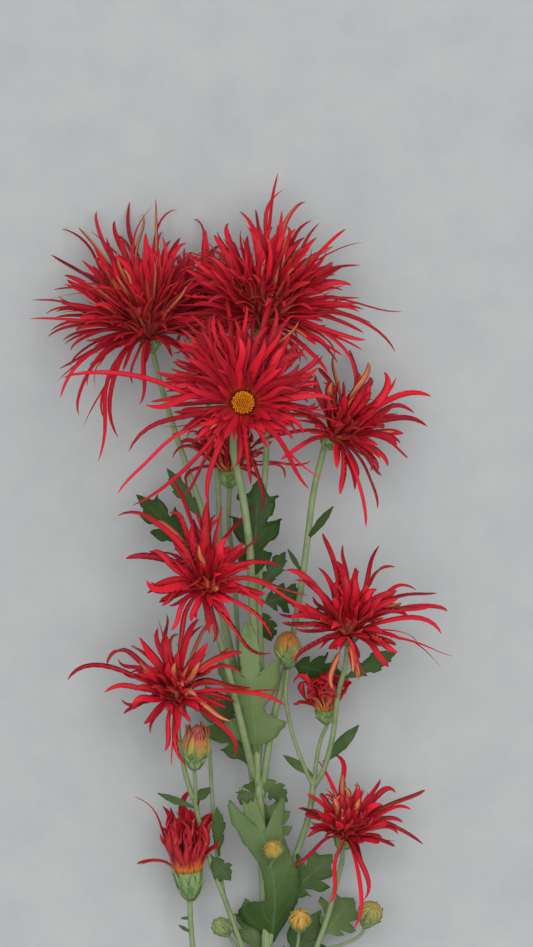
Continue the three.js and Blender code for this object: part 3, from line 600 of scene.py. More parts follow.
def seeded(seed):
    """A row of numbers from 0 to 1 that is the same on every run."""
    state = seed
    while True:
        state = (state * 1664525 + 1013904223) & 0xFFFFFFFF
        yield state / 2**32


def blade_material(name):
    """A new material with what the patterns on a blade follow: its place, the ways across and
    along it, and its own shade."""
    material, tree = new_material(name)
    wrap = add_node(tree, "TexCoord")
    uv = add_node(tree, "SeparateXYZ", links={0: wrap.outputs["UV"]})
    tone = add_node(tree, "Attribute", {"attribute_name": "tone"})
    return material, tree, wrap, uv.outputs[0], uv.outputs[1], tone.outputs["Fac"]


# Scale skin: leathery matt green with a thin pale rim, each scale in a green of its own.
scale_skin, tree, wrap, across, along, tone = blade_material("green_cup_scales")
inward = add_node(tree, "Math", {"operation": "PINGPONG", 1: 0.5}, {0: across})
rim = add_node(tree, "MapRange", {"From Max": 0.3, "To Min": 0.6, "To Max": 0.0}, {"Value": inward})
body = add_node(tree, "Mix", {6: "#4E6E3A", 7: "#8AA365"}, {"Factor": tone})
edged = add_node(tree, "Mix", {7: "#A9B886"}, {"Factor": rim, 6: body})
skin = add_node(tree, "BsdfPrincipled", {"Roughness": 0.6, "IOR": 1.42}, {"Base Color": edged})
add_node(tree, "OutputMaterial", links={"Surface": skin})

SCALE_WIDTHS = np.array([0.7, 1.0, 1.0, 0.8, 0.45, 0.06])
SCALE_THICKNESS = 0.35
SCALE_HOLLOW = -0.3
CUP_RADIUS = 4.6
CUP_FOOT = 0.28
BUD_CUP_RADIUS = 0.4
BUD_CUP_FOOT = 0.12
# Half-open flowers have cups of their own: depth and radius.
CUPS = {"hidden": (7.0, 4.8), "back_right": (5.5, 4.6), "lower_young": (12.5, 6.3)}
# The egg of a bud: its radii at these heights, and the share of its height under green scales.
BUD_HEIGHTS = np.array([0, 0.1, 0.28, 0.45, 0.6, 0.75, 0.86, 0.94, 1.0])
BUD_RADII = np.array([0.7, 0.84, 0.97, 0.98, 0.9, 0.72, 0.52, 0.32, 0.12])
COVERED = {"bud_middle": 0.66, "bud_opening": 0.5, "bud_centre": 0.55, "bud_low": 0.45, "bud_right": 0.8,
           "bud_left": 0.95}
# Rings of scales: where they start and end, how many there are and how far they stand off. The
# starts are shares of the cup's depth, and the ends too, or of a bud's covered height.
CUP_RINGS = [(-1.0, -0.35, 9, 0.55), (-0.8, -0.02, 10, 0.35), (-0.6, 0.12, 11, 0.15)]
BUD_RINGS = [(-0.9, 0.35, 7, 0.7), (-0.6, 0.7, 8, 0.45), (-0.3, 1.0, 9, 0.25)]


def cup_radii(heights, depth, radius):
    """A cup swells quickly from its foot and is widest at its brim."""
    share = np.clip(heights / depth + 1, 0, 1)
    return radius * (CUP_FOOT + (1 - CUP_FOOT) * np.sin(share * math.pi / 2) ** 0.8)


def cup(name, seat, ways, depth, radius, draw):
    """The widened top of a stalk, up to the seat of its flower."""
    heights = np.linspace(-depth - 0.6, 0.4, ROD_STEPS + 1)
    points = seat + heights[:, None] * ways[0]
    return bar(rod, name, points, ways[1], cup_radii(heights, depth, radius), 0.3 + 0.4 * next(draw))


def scale_ring(seat, ways, heights, radii, low, top, count, off, draw):
    """A ring of scales pressed to a round body whose radii are given by height."""
    parts = []
    for index in range(count):
        outward = around(ways, 2 * math.pi * (index + 0.4 * next(draw)) / count + low)
        end = top + 0.12 * (top - low) * (next(draw) - 0.5)
        height = np.linspace(low, end, SHORT_STEPS + 1)
        flare = np.linspace(0, 1, SHORT_STEPS + 1) ** 4 * 0.7 * next(draw)
        at = np.interp(height, heights, radii) + off + flare
        points = seat + height[:, None] * ways[0] + at[:, None] * outward
        widths = SCALE_WIDTHS * 2 * math.pi * max(radii) / count * (1.05 + 0.2 * next(draw))
        parts.append(blade(short_blade, "scale", points, outward, widths, SCALE_HOLLOW,
                           0.1 + 0.8 * next(draw), SCALE_THICKNESS))
    return parts


cup_draw = seeded(31)
cups = []
for name, bloom in BLOOMS.items():
    depth, radius = CUPS.get(name, (CUP_DEPTH, CUP_RADIUS))
    seat, ways = bloom["seat"], lean(bloom)
    cups.append(cup(name, seat, ways, depth, radius, cup_draw))
    heights = np.linspace(-depth, 1.5, 12)
    radii = cup_radii(heights, depth, radius)
    for low, top, count, off in CUP_RINGS:
        cups += scale_ring(seat, ways, heights, radii, low * depth, top * depth, count, off, cup_draw)
for name, bud in BUDS.items():
    seat, ways, depth = bud["seat"], lean(bud), bud["width"] * BUD_CUP_DEPTH
    cups.append(cup(name, seat, ways, depth, bud["width"] * BUD_CUP_RADIUS, cup_draw))
    heights = np.concatenate([[-depth], BUD_HEIGHTS * bud["length"]])
    radii = np.concatenate([[bud["width"] * BUD_CUP_FOOT], BUD_RADII * bud["width"] / 2])
    covered = COVERED[name] * bud["length"]
    for low, top, count, off in BUD_RINGS:
        cups += scale_ring(seat, ways, heights, radii, low * depth, top * covered, count, off, cup_draw)
cups = joined("green_cups", cups)
dressed(cups, ["leafy_stem"], "leaf_green", scale_skin)

# Leaves
# Soft deep-green leaves with deep forward-leaning lobes and small teeth, a sunken midrib and
# side veins, and a paler matt underside. Each is cut from one flat strip, lobed, laid along
# its arched midrib and given its thickness.
# Shape, foot, tip, width, arch and tone of each leaf, where two tones are those of foot and tip.
# The tones are partly painted shade: leaves that lie in shade are given dark tones, and a leaf
# with two tones is darker at its foot, where it lies in shade.
# The last two are bracts on a flower stalk.
LEAVES = [
    ("lobed", [-24, 160, 37], [-55, 190, 28], 19, 4, 0.05),
    ("toothed", [-26, 178, 38], [-42, 201, 32], 9, 2, 0.2),
    ("lobed", [-6, 150, 57], [-3, 197, 50], 25, -4, 0.0),
    ("toothed", [-3, 149, 43], [8, 166, 40], 9, 2, 0.1),
    ("lobed", [-3, 144, 43], [16, 149, 34], 16, 3, 0.1),
    ("toothed", [-3, 142, 43], [2, 128, 32], 12, 3, 0.1),
    ("broad", [-4, 79, 36], [-8, 135, 56], 37, 6, [0.55, 1.2]),
    ("lobed", [-6, 73, 32], [-26, 109, 16], 26, 3, [0.1, 0.5]),
    ("lobed", [9, 119, 38], [33, 113, 27], 17, 2, 0.05),
    ("toothed", [31, 112, 54], [55, 124, 40], 9, 2, 0.2),
    ("narrow", [17, 171, 41], [28, 185, 48], 4, 1, 0.1),
    ("narrow", [15, 157, 41], [9, 167, 46], 2.4, 1, 0.2),
    ("narrow", [24, 77, 41], [39, 93, 44], 6, 2, 0.15),
    ("narrow", [20, 71, 36], [7, 80, 32], 4, 2, 0.3),
    ("toothed", [-3, 71, 32], [9, 60, 26], 10, 3, 0.35),
    ("toothed", [-5, 70, 32], [-11, 59, 36], 9, 3, 0.2),
    ("toothed", [-3, 63, 30], [-1, 47, 26], 8, 1, 0.25),
    ("fingered", [2, 0, 19.5], [-10, 63, 36], 40, 7, [0.0, 0.85]),
    ("lobed", [-2, 33, 24], [6, 62, 22], 18, 3, 0.7),
    ("lobed", [6, -15, 17.5], [23, 14, 18], 20, 3, [0.0, 0.3]),
    ("lobed", [6, 18, 24], [28, 38, 29], 24, 3, [0.0, 0.4]),
    ("lobed", [-1, -12, 16], [-9, 19, 14], 20, 3, [0.1, 0.5]),
    ("lobed", [23, 3, 25], [37, 19, 13], 24, 3, 0.55),
    ("narrow", [-23, 66, 23], [-31, 61, 26], 5, 1, 0.3),
    ("narrow", [-30, 58, 39], [-46, 64, 34], 3.4, 2, 0.25),
    ("toothed", [-24, 38, 31], [-15, 27, 30], 11, 2, 0.2),
    ("toothed", [-20, 37, 26], [-21, 58, 34], 8, 2, 0.25),
    ("narrow", [-32, 11, 26.5], [-36, 11, 28.5], 1.6, 0.4, 0.3),
    ("narrow", [-32, 5, 25.5], [-37, 8, 27.5], 1.8, 0.4, 0.3),
]
# Outlines of the right and left half: the place on the midrib, how far along the leaf the edge
# lies that grew from there, and how far out, in hundredths of the length and the half width.
LEAF_SHAPES = {
    "lobed": [
        [
            [0, 0, 5], [12, 12, 7], [18, 17, 20], [24, 25, 50], [30, 36, 68], [34, 36, 50],
            [38, 37, 28], [42, 42, 50], [47, 52, 85], [52, 65, 100], [55, 64, 76], [58, 60, 38],
            [62, 65, 50], [68, 76, 70], [73, 86, 74], [77, 84, 50], [82, 86, 34], [90, 93, 22],
            [100, 100, 2],
        ],
    ],
    "broad": [
        [
            [0, 0, 7], [10, 10, 9], [13, 11, 30], [17, 15, 60], [22, 24, 85], [27, 27, 62],
            [33, 32, 32], [38, 36, 28], [43, 42, 50], [48, 48, 68], [52, 58, 78], [56, 74, 82],
            [58, 68, 52], [60, 62, 26], [68, 70, 25], [80, 82, 27], [88, 92, 22], [95, 98, 12],
            [100, 103, 2],
        ],
    ],
    "fingered": [
        [
            [0, 0, 8], [6, 6, 20], [15, 16, 50], [25, 28, 66], [38, 42, 64], [48, 53, 56],
            [55, 62, 48], [60, 76, 46], [64, 88, 66], [67, 95, 62], [70, 88, 40], [74, 74, 16],
            [80, 84, 16], [90, 95, 20], [96, 102, 16], [100, 106, 2],
        ],
        [
            [0, 0, 10], [5, 10, 32], [10, 14, 72], [15, 22, 78], [20, 27, 45], [25, 27, 20],
            [35, 38, 20], [45, 50, 23], [52, 57, 30], [60, 70, 52], [66, 84, 66], [70, 96, 68],
            [73, 100, 56], [76, 92, 42], [80, 85, 32], [86, 92, 19], [94, 100, 12], [100, 106, 2],
        ],
    ],
    "toothed": [
        [
            [0, 0, 10], [15, 15, 20], [26, 30, 60], [33, 42, 74], [38, 42, 50], [48, 56, 85],
            [55, 68, 100], [60, 67, 66], [70, 78, 72], [76, 86, 60], [82, 87, 40], [92, 94, 24],
            [100, 100, 2],
        ],
    ],
    "narrow": [
        [[0, 0, 20], [20, 20, 60], [45, 50, 100], [70, 74, 80], [88, 90, 40], [100, 100, 2]],
    ],
}
LEAF_ROWS = 90
LEAF_COLUMNS = 8
LEAF_THICKNESS = 0.5
LEAF_CLEARANCE = 0.8
LEAST_HALF_WIDTH = 0.15
TOOTH_LENGTH = 4.4
TEETH = {"lobed": 0.2, "broad": 0.1, "fingered": 0.08, "toothed": 0.2, "narrow": 0.05}
MIDRIB_BEND = {"fingered": 6}
MIDRIB_DEPTH = 0.35
MIDRIB_SHARE = 0.12
EDGE_WAVES = 7.5
EDGE_DROOP = 0.18

bpy.ops.object.select_all(action="DESELECT")
bpy.ops.mesh.primitive_grid_add(x_subdivisions=LEAF_COLUMNS, y_subdivisions=LEAF_ROWS, size=2,
                                location=(0, 0, 0), calc_uvs=True)
strip = bpy.context.object
strip.name = "straight_leaf"
bpy.ops.object.shade_smooth()
strip_spots = places(strip)
strip_spots[:, 1] = (strip_spots[:, 1] + 1) / 2
strip.data.vertices.foreach_set("co", strip_spots.ravel())
wrap_uv(strip, lambda face, vertex: (strip_spots[vertex, 0] + 1) / 2)
strip_rows = np.rint(strip_spots[:, 1] * LEAF_ROWS).astype(int)


def leaf(shape, foot, tip, width, arch, tone, draw):
    """The strip laid along a leaf's arched midrib, each half drawn out to its own outline."""
    start, end = np.array(foot, float), np.array(tip, float)
    length = np.linalg.norm(end - start)
    along = unit(end - start)
    flat = unit(np.cross(along, UP))
    middle = (start + end) / 2 + UP * 2 * arch + flat * 2 * MIDRIB_BEND.get(shape, 0)
    t = np.linspace(0, 1, LEAF_ROWS + 1)
    rib = (1 - t[:, None]) ** 2 * start + 2 * (t * (1 - t))[:, None] * middle + t[:, None] ** 2 * end
    sides = LEAF_SHAPES[shape]
    spots = np.empty_like(strip_spots)
    for sign in (1, -1):
        stations, edge_along, edge_out = np.array(sides[-1 if sign < 0 else 0]).T / 100
        size = 0.9 + 0.2 * next(draw)
        phase = next(draw) * 2 * math.pi
        reach = np.interp(t, stations, edge_out) * width / 2 * size
        saw = (t * length / TOOTH_LENGTH + phase) % 1.0
        reach = np.maximum(reach * (1 - TEETH[shape] * saw), LEAST_HALF_WIDTH)
        ahead = (np.interp(t, stations, edge_along) - t) * length
        droop = (0.12 + 0.2 * next(draw)) * np.sin(t * EDGE_WAVES + phase) - EDGE_DROOP
        mine = strip_spots[:, 0] * sign >= 0
        x, row = np.abs(strip_spots[mine, 0]), strip_rows[mine]
        out = reach[row] * x
        lift = droop[row] * out - MIDRIB_DEPTH * np.exp(-((x / MIDRIB_SHARE) ** 2))
        ways = unit(np.gradient(rib, axis=0))[row]
        normal = across_way(np.cross(flat, ways), ways)
        spots[mine] = (rib[row] + sign * out[:, None] * flat + (ahead[row] * x)[:, None] * along
                       + lift[:, None] * normal)
    spots[:, 2] = np.maximum(spots[:, 2], LEAF_CLEARANCE)
    # Painted shade: the tone runs from the foot to the tip, darker at the foot that lies in shade.
    foot_tone_and_shade, tip_tone_and_shade = np.broadcast_to(tone, 2)
    return placed(strip, "leaf", spots, foot_tone_and_shade + (tip_tone_and_shade - foot_tone_and_shade) * strip_spots[:, 1])


# Leaf skin: deep green to pale grey-green, satin above and matt below. The midrib and side
# veins are paler, with a vein about every 5 mm, and the skin between them is faintly quilted.
leaf_skins = []
for name, dark, pale, roughness in (
    ("chrysanthemum_leaf_upper_side", "#2C4A16", "#84986A", 0.55),
    ("chrysanthemum_leaf_underside", "#4A6138", "#8C9F7C", 0.75),
):
    leaf_skin, tree, wrap, across, along, tone = blade_material(name)
    off_rib = add_node(tree, "Math", {"operation": "SUBTRACT", 1: 0.5}, {0: across})
    off_rib = add_node(tree, "Math", {"operation": "ABSOLUTE"}, {0: off_rib})
    climb = add_node(tree, "Math", {"operation": "MULTIPLY_ADD", 1: -0.35}, {0: off_rib, 2: along})
    side_vein = add_node(tree, "Math", {"operation": "PINGPONG", 1: 0.055}, {0: climb})
    side_vein = add_node(tree, "MapRange", {"From Max": 0.009, "To Min": 0.55, "To Max": 0.0},
                         {"Value": side_vein})
    midrib = add_node(tree, "MapRange", {"From Max": 0.035, "To Min": 1.0, "To Max": 0.0},
                      {"Value": off_rib})
    veins = add_node(tree, "Math", {"operation": "MAXIMUM"}, {0: side_vein, 1: midrib})
    mottle = add_node(tree, "TexNoise", {"Scale": 1 / (9 * MM), "Detail": 5.0},
                      {"Vector": wrap.outputs["Object"]})
    # Tone from deep to pale green, partly painted shade: dark for leaves and leaf feet in shade.
    flesh = add_node(tree, "Mix", {6: dark, 7: pale}, {"Factor": tone})
    mottled = add_node(tree, "Mix", {"blend_type": "MULTIPLY", 7: "#C3CFA0"}, {"Factor": mottle, 6: flesh})
    faint = add_node(tree, "Math", {"operation": "MULTIPLY", 1: 0.17}, {0: veins})
    veined = add_node(tree, "Mix", {7: "#94AA7E"}, {"Factor": faint, 6: mottled})
    quilt = add_node(tree, "Bump", {"Strength": 0.4, "Distance": 0.3 * MM, "invert": True},
                     {"Height": veins})
    skin = add_node(tree, "BsdfPrincipled",
                    {"Roughness": roughness, "IOR": 1.42, "Specular IOR Level": 0.3,
                     "Subsurface Weight": 0.08, "Subsurface Scale": 1 * MM},
                    {"Base Color": veined, "Normal": quilt})
    add_node(tree, "OutputMaterial", links={"Surface": skin})
    leaf_skins.append(leaf_skin)

leaf_draw = seeded(11)
leaves = joined("leaves", [leaf(*each, leaf_draw) for each in LEAVES])
dressed(leaves, ["leafy_stem"], "leaf_green", *leaf_skins)
thickness = leaves.modifiers.new("thickness", "SOLIDIFY")
thickness.thickness = LEAF_THICKNESS * MM
thickness.material_offset = 1
bpy.context.view_layer.objects.active = leaves
bpy.ops.object.modifier_apply(modifier="thickness")

# Petals
# Each flower is a loose head of narrow soft petals, crimson on the face and orange-yellow on
# the reverse. They grew in a spiral on one core, the outermost first, and the core stays hidden
# under them. The rays are set as they are seen, and the rest stand by the golden angle.
CORE_HEIGHT = 2.6
ROOT_HEIGHT = 1.3
HALF_OPEN_ROOT_HEIGHT = 0.1
ROOT_OUTSET = 0.5
ROOT_RISE = 0.7
BED_OUTSET = 0.9
LEAST_BED = 3.6
HANDLE = 0.36
TIP_DROOP = 0.35
LEAST_OUTWARD = 0.45
PETAL_CLEARANCE = 0.5
SHARE_LEAST = 0.6
SHARE_MOST = 0.95
GOLDEN_ANGLE = 137.5
INNERMOST = 18
FILL_BEND = 90
PROP_BEND = 20
STEEPEST = 35
STEEPNESS_COST = 0.6
# How many petals are turned over, in the gilt sector and elsewhere, and how far.
TURNED_IN_GILT = 0.35
TURNED_ELSEWHERE = 0.02
TURNED_ROLL = 170
# How far petals sway, lift, hook aside and curl up, as shares of their length.
SWAY, LIFT, HOOK, CURL = 0.07, 0.06, 1.1, 0.9
# The width and the hollow of outer petals, how much broader and flatter inner ones are, and
# which are inner: those less than so far off the axis, fully so this much further in.
NARROW, BROADER = 2.0, 1.6
HOLLOW, FLATTER = 0.75, 0.45
INNER_BELOW, INNER_RANGE = 88, 40
# How far petals are rolled, all over and more at their tips, and how many have a second tip.
ROLL, TIP_ROLL = 40, 150
SPLIT, MORE_SPLIT = 0.12, 0.25
# Petals between the others: how much shorter the inner ones are, how their lengths, spreads
# and angles vary, their furthest reach and the share that a bare sector goes without.
INNER_SHORTENING = 0.35
BETWEEN_LEAST, BETWEEN_RANGE = 0.78, 0.3
SPREAD_JITTER, ANGLE_JITTER = 14, 30
FURTHEST = 1.05
LEFT_OUT = 0.85
PETAL_SHARES = 1 - (1 - np.linspace(0, 1, BLADE_STEPS + 1)) ** 1.25
BROAD_OUTLINE = np.interp(PETAL_SHARES, [0, 0.12, 0.3, 0.5, 0.68, 0.84, 0.94, 1],
                          [0.3, 0.55, 0.86, 1, 0.96, 0.78, 0.46, 0.1])
STRAP_OUTLINE = np.interp(PETAL_SHARES, [0, 0.1, 0.3, 0.55, 0.78, 0.92, 0.98, 1],
                          [0.45, 0.65, 0.88, 1, 0.95, 0.7, 0.4, 0.12])


def turned(vector, axis, degrees):
    """A vector turned round an axis."""
    angle = math.radians(degrees)
    return (vector * math.cos(angle) + np.cross(axis, vector) * math.sin(angle)
            + axis * (axis @ vector) * (1 - math.cos(angle)))


def random_share(draw):
    """How much of the full length one petal reaches."""
    return SHARE_LEAST + (SHARE_MOST - SHARE_LEAST) * next(draw)


def rise(level, axis, spread):
    """How far a ray rises from level to leave the axis by about the wished spread."""
    hinge = np.cross(level, UP)
    best = (math.inf, 0)
    for angle in range(-STEEPEST, STEEPEST + 1, 5):
        way = turned(level, hinge, angle)
        miss = abs(math.degrees(math.acos(np.clip(way @ axis, -1, 1))) - spread)
        best = min(best, (miss + STEEPNESS_COST * abs(angle), angle), key=lambda each: each[0])
    return best[1]


def ray_wish(bloom, ray, axis, draw):
    """Tip and bend of a long petal that is set as it is seen."""
    direction, reach, bend = ray
    level = np.array([math.cos(math.radians(direction)), math.sin(math.radians(direction)), 0.0])
    climb = reach * math.tan(math.radians(rise(level, axis, bloom["open"] * random_share(draw))))
    return bloom["seat"] + level * reach + UP * climb, bend


def out_from(ways, spread, angle):
    """The direction that leaves the axis by a spread, at an angle round it."""
    return math.cos(spread) * ways[0] + math.sin(spread) * around(ways, angle)


def spiral_wish(bloom, count, index, ways, draw):
    """Tip and bend of one of the part's own petals among the rays."""
    spread = math.radians(bloom["open"] + (INNERMOST - bloom["open"]) * (index + 0.5) / count)
    reach = bloom["length"] * random_share(draw)
    tip = bloom["seat"] + reach * out_from(ways, spread, math.radians(GOLDEN_ANGLE * index))
    return tip, FILL_BEND * (next(draw) - 0.5)


def between_wish(bloom, index, ways, draw):
    """Tip and bend of a petal that stands between the others, the inner ones shorter. There is
    none in most of the sector that the flower leaves bare."""
    share = ((index + 0.5) / bloom["extra"]) ** 0.8
    spread = bloom["wide"] * (1 - (1 - bloom["inmost"]) * share) + SPREAD_JITTER * (next(draw) - 0.5)
    angle = math.radians(GOLDEN_ANGLE * index + ANGLE_JITTER * (next(draw) - 0.5))
    shorter = 1 - INNER_SHORTENING * share * (1 - bloom["inmost"])
    length = bloom["between"] * shorter * (BETWEEN_LEAST + BETWEEN_RANGE * next(draw))
    reach = length * out_from(ways, math.radians(spread), angle)
    bend = FILL_BEND * bloom["wild"] * (next(draw) - 0.5)
    seen = math.degrees(math.atan2(reach[1], reach[0])) % 360
    toward = 0.5 + 0.5 * math.cos(math.radians(seen - bloom.get("toward", bloom["turn"])))
    reach = reach * (bloom["behind"] + (FURTHEST - bloom["behind"]) * toward ** bloom["fan"])
    first, last = bloom["bare"]
    if first < seen < last and next(draw) < LEFT_OUT and math.radians(spread) > 0.5:
        return None
    return bloom["seat"] + reach, bend


def settled(tip, corners):
    """A tip at the height that the part's own petal has there, where it has one."""
    near = corners[np.hypot(*(corners[:, :2] - tip[:2]).T) < 0.05]
    if len(near):
        tip = np.array([*tip[:2], near[np.argmin(np.abs(near[:, 2] - tip[2])), 2]])
    return tip


def turned_share(bloom, tip):
    """The share of petals that show their gold side, which is large in one sector."""
    x, y, _ = tip - bloom["seat"]
    first, last = bloom["gilt"]
    in_gilt = first < math.degrees(math.atan2(y, x)) % 360 < last
    return TURNED_IN_GILT if in_gilt else TURNED_ELSEWHERE


def petal(bloom, tip, bend, ways, look):
    """One petal from the core to its tip, with its waves, hook, roll and shade. The inner
    petals are broad and nearly flat, the outer ones narrow and rolled to a groove."""
    axis = ways[0]
    centre = bloom["seat"] + axis * (ROOT_HEIGHT if bloom["disc"] else HALF_OPEN_ROOT_HEIGHT)
    outward = across_way(tip - centre, axis)
    root = centre + outward * bloom.get("ring", bloom["disc"] + ROOT_OUTSET)
    way = unit(tip - root)
    start = turned(way, UP, -bend / 2) + axis * ROOT_RISE
    start = unit(start + outward * max(0.0, LEAST_OUTWARD - start @ outward))
    finish = unit(turned(way, UP, bend / 2) - axis * TIP_DROOP)
    length = np.linalg.norm(tip - root)
    t = PETAL_SHARES[:, None]
    first, second = root + start * HANDLE * length, tip - finish * HANDLE * length
    points = ((1 - t) ** 3 * root + 3 * t * (1 - t) ** 2 * first
              + 3 * t**2 * (1 - t) * second + t**3 * tip)
    along = unit(np.gradient(points, axis=0))
    side = across_way(np.cross(axis, outward), along)
    normals = np.cross(along, side)

    spread = math.degrees(math.acos(np.clip(unit(tip - centre) @ axis, -1, 1)))
    excess = length / bloom["length"]
    inner = np.clip((INNER_BELOW - spread) / INNER_RANGE, 0, 1) * np.clip((1.45 - excess) / 0.35, 0, 1)
    wild = bloom["wild"]
    pace, phase = 4 + 5 * next(look), 6.3 * next(look)
    sway, lift = SWAY * wild * (next(look) - 0.5), LIFT * wild * (next(look) - 0.5)
    hook, curl = HOOK * wild * (next(look) - 0.5), (CURL + 0.5 * inner) * wild * (next(look) - 0.4)
    wave = np.sin(t * pace + phase) * np.sin(t * math.pi)
    hooked = 2 * t**4 * (1 - t)
    points = points + length * (side * (sway * wave + hook * hooked)
                                + normals * (lift * wave + curl * hooked))
    points[:, 2] = np.maximum(points[:, 2], PETAL_CLEARANCE)

    roll = ROLL * (next(look) - 0.5) + (next(look) - 0.5) * TIP_ROLL * wild * PETAL_SHARES**2
    shows_reverse = next(look) < turned_share(bloom, tip)
    if shows_reverse:
        roll = roll + TURNED_ROLL * np.clip((PETAL_SHARES - 0.15) * 2.6, 0, 1)
    roll = np.radians(roll)[:, None]
    normals = normals * np.cos(roll) + side * np.sin(roll)
    outline = inner * BROAD_OUTLINE + (1 - inner) * STRAP_OUTLINE
    width = (NARROW + BROADER * inner) * (0.75 + 0.5 * next(look)) * bloom["broad"]
    hollow = (HOLLOW - FLATTER * inner) * (0.6 + 0.8 * next(look)) * (1 if next(look) < 0.8 else -0.7)
    tone = next(look)
    tone = 1.1 + 0.3 * tone if shows_reverse else min(1.0, tone * bloom["light"])
    parts = [blade(long_blade, "petal", points, normals, outline * width, hollow, tone)]
    if next(look) < SPLIT + MORE_SPLIT * inner:
        parts.append(side_tip(points, normals, side, width, look))
    return parts


def side_tip(points, normals, side, width, look):
    """The second, smaller tip of a petal that is split at its end."""
    fork = 5 + int(next(look) * 3)
    sign = 1 if next(look) < 0.5 else -1
    stretch = np.linspace(0, 1, BLADE_STEPS + 1)
    rows = fork + stretch * (BLADE_STEPS - fork) * (0.55 + 0.35 * next(look))
    spine, face, beside = (
        np.stack([np.interp(rows, range(BLADE_STEPS + 1), row[:, k]) for k in range(3)], axis=1)
        for row in (points, normals, side)
    )
    reach = np.linalg.norm(spine[-1] - spine[0])
    spine = spine + sign * beside * (0.12 * width + 0.4 * reach * stretch[:, None] ** 1.4)
    widths = width * np.interp(stretch, [0, 0.3, 0.7, 1], [0.3, 0.45, 0.3, 0.04])
    return blade(long_blade, "petal_tip", spine, face, widths, 0.2, next(look))


def flower_bed(bloom, axis, across):
    """The low red mound that the petals stand on."""
    steps = np.linspace(0, 1, ROD_STEPS + 1)
    radius = bloom.get("ring", max(bloom["disc"] + BED_OUTSET, LEAST_BED))
    points = bloom["seat"] + (steps * CORE_HEIGHT)[:, None] * axis
    return bar(rod, "bed", points, across, radius * np.sqrt(1 - 0.35 * steps**2), 0.0)


def bloom_petals(name, bloom, index):
    """All petals of one flower: the part's own first, then those that stand between them."""
    ways = lean(bloom)
    draw, look, more = seeded(101 + index), seeded(901 + index), seeded(501 + index)
    corners = np.array([vertex.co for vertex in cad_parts["petals_" + name].data.vertices])
    corners = corners / MM - SHIFT
    wishes = [(np.array([*prop, 0.0]), PROP_BEND) for prop in bloom.get("props", [])]
    wishes += [ray_wish(bloom, ray, ways[0], draw) for ray in bloom["rays"]]
    count = bloom["petals"] - len(wishes)
    wishes += [spiral_wish(bloom, count, each, ways, draw) for each in range(count)]
    wishes = [(settled(tip, corners), bend) for tip, bend in wishes]
    wishes += filter(None, [between_wish(bloom, each, ways, more) for each in range(bloom["extra"])])
    parts = [part for tip, bend in wishes for part in petal(bloom, tip, bend, ways, look)]
    return [*parts, flower_bed(bloom, *ways[:2])]


# Petal skin: thin velvety flesh, crimson with fine lengthwise veins and coral lights at its
# edges, and orange-yellow with red streaks and margins on the reverse. Its veins are about
# 0.5 mm apart. The foot of a petal is orange, and yellower and longer in half-open flowers.
def velvety_petal(name, foot, foot_share):
    """Petal skin with its colour at the foot and the share of the length that has it."""
    material, tree, wrap, across, along, tone = blade_material(name)
    reverse = add_node(tree, "Math", {"operation": "GREATER_THAN", 1: 1.0}, {0: across})
    inward = add_node(tree, "Math", {"operation": "PINGPONG", 1: 0.5}, {0: across})
    own = add_node(tree, "CombineXYZ", links={2: tone})
    stretched = add_node(tree, "Mapping", {"Scale": (9.0, 0.9, 1.0)}, {"Vector": wrap.outputs["UV"]})
    shifted = add_node(tree, "VectorMath", {"operation": "MULTIPLY_ADD", 1: (0, 0, 90.0)},
                       {0: own, 2: stretched})
    streaks = add_node(tree, "TexNoise", {"Scale": 1.0, "Detail": 3.0, "Roughness": 0.6},
                       {"Vector": shifted})
    streak = add_node(tree, "MapRange", {"From Min": 0.3, "From Max": 0.7}, {"Value": streaks})
    vein = add_node(tree, "Math", {"operation": "MULTIPLY", 1: 0.5}, {0: streak})
    deep = add_node(tree, "Mix", {6: "#840317", 7: "#E21830"}, {"Factor": tone})
    veined = add_node(tree, "Mix", {7: "#D82C40"}, {"Factor": vein, 6: deep})
    edge_light = add_node(tree, "MapRange", {"From Max": 0.2, "To Min": 0.25, "To Max": 0.0},
                          {"Value": inward})
    face = add_node(tree, "Mix", {7: "#CC3F45"}, {"Factor": edge_light, 6: veined})
    gilt = add_node(tree, "MapRange", {"From Min": 0.5, "From Max": 1.1, "To Min": 0.08, "To Max": 1.0},
                    {"Value": tone})
    streaky = add_node(tree, "Math", {"operation": "MULTIPLY_ADD", 1: 0.7, 2: 0.3}, {0: streak})
    gilt = add_node(tree, "Math", {"operation": "MULTIPLY"}, {0: gilt, 1: streaky})
    gold = add_node(tree, "Mix", {6: "#A6142A", 7: "#E9A86C"}, {"Factor": gilt})
    red_end = add_node(tree, "MapRange", {"From Min": 0.12, "From Max": 0.7, "To Max": 0.92},
                       {"Value": along})
    kept = add_node(tree, "MapRange", {"From Min": 1.0, "From Max": 1.1, "To Min": 1.0, "To Max": 0.3},
                    {"Value": tone})
    red_end = add_node(tree, "Math", {"operation": "MULTIPLY"}, {0: red_end, 1: kept})
    ends = add_node(tree, "Mix", {7: "#BC2630"}, {"Factor": red_end, 6: gold})
    margin = add_node(tree, "MapRange", {"From Max": 0.3, "To Min": 0.85, "To Max": 0.0},
                      {"Value": inward})
    back = add_node(tree, "Mix", {7: "#AE1828"}, {"Factor": margin, 6: ends})
    either = add_node(tree, "Mix", links={"Factor": reverse, 6: face, 7: back})
    glow = add_node(tree, "MapRange", {"From Max": foot_share, "To Min": 0.8, "To Max": 0.0},
                    {"Value": along})
    colour = add_node(tree, "Mix", {7: foot}, {"Factor": glow, 6: either})
    velvet = add_node(tree, "Bump", {"Strength": 0.35, "Distance": 0.15 * MM}, {"Height": streak})
    skin = add_node(tree, "BsdfPrincipled",
                    {"Roughness": 0.5, "IOR": 1.4, "Specular IOR Level": 0.25, "Sheen Weight": 0.06,
                     "Sheen Roughness": 0.4, "Sheen Tint": "#FF8A88", "Subsurface Weight": 0.15,
                     "Subsurface Scale": 0.8 * MM}, {"Base Color": colour, "Normal": velvet})
    add_node(tree, "OutputMaterial", links={"Surface": skin})
    return material


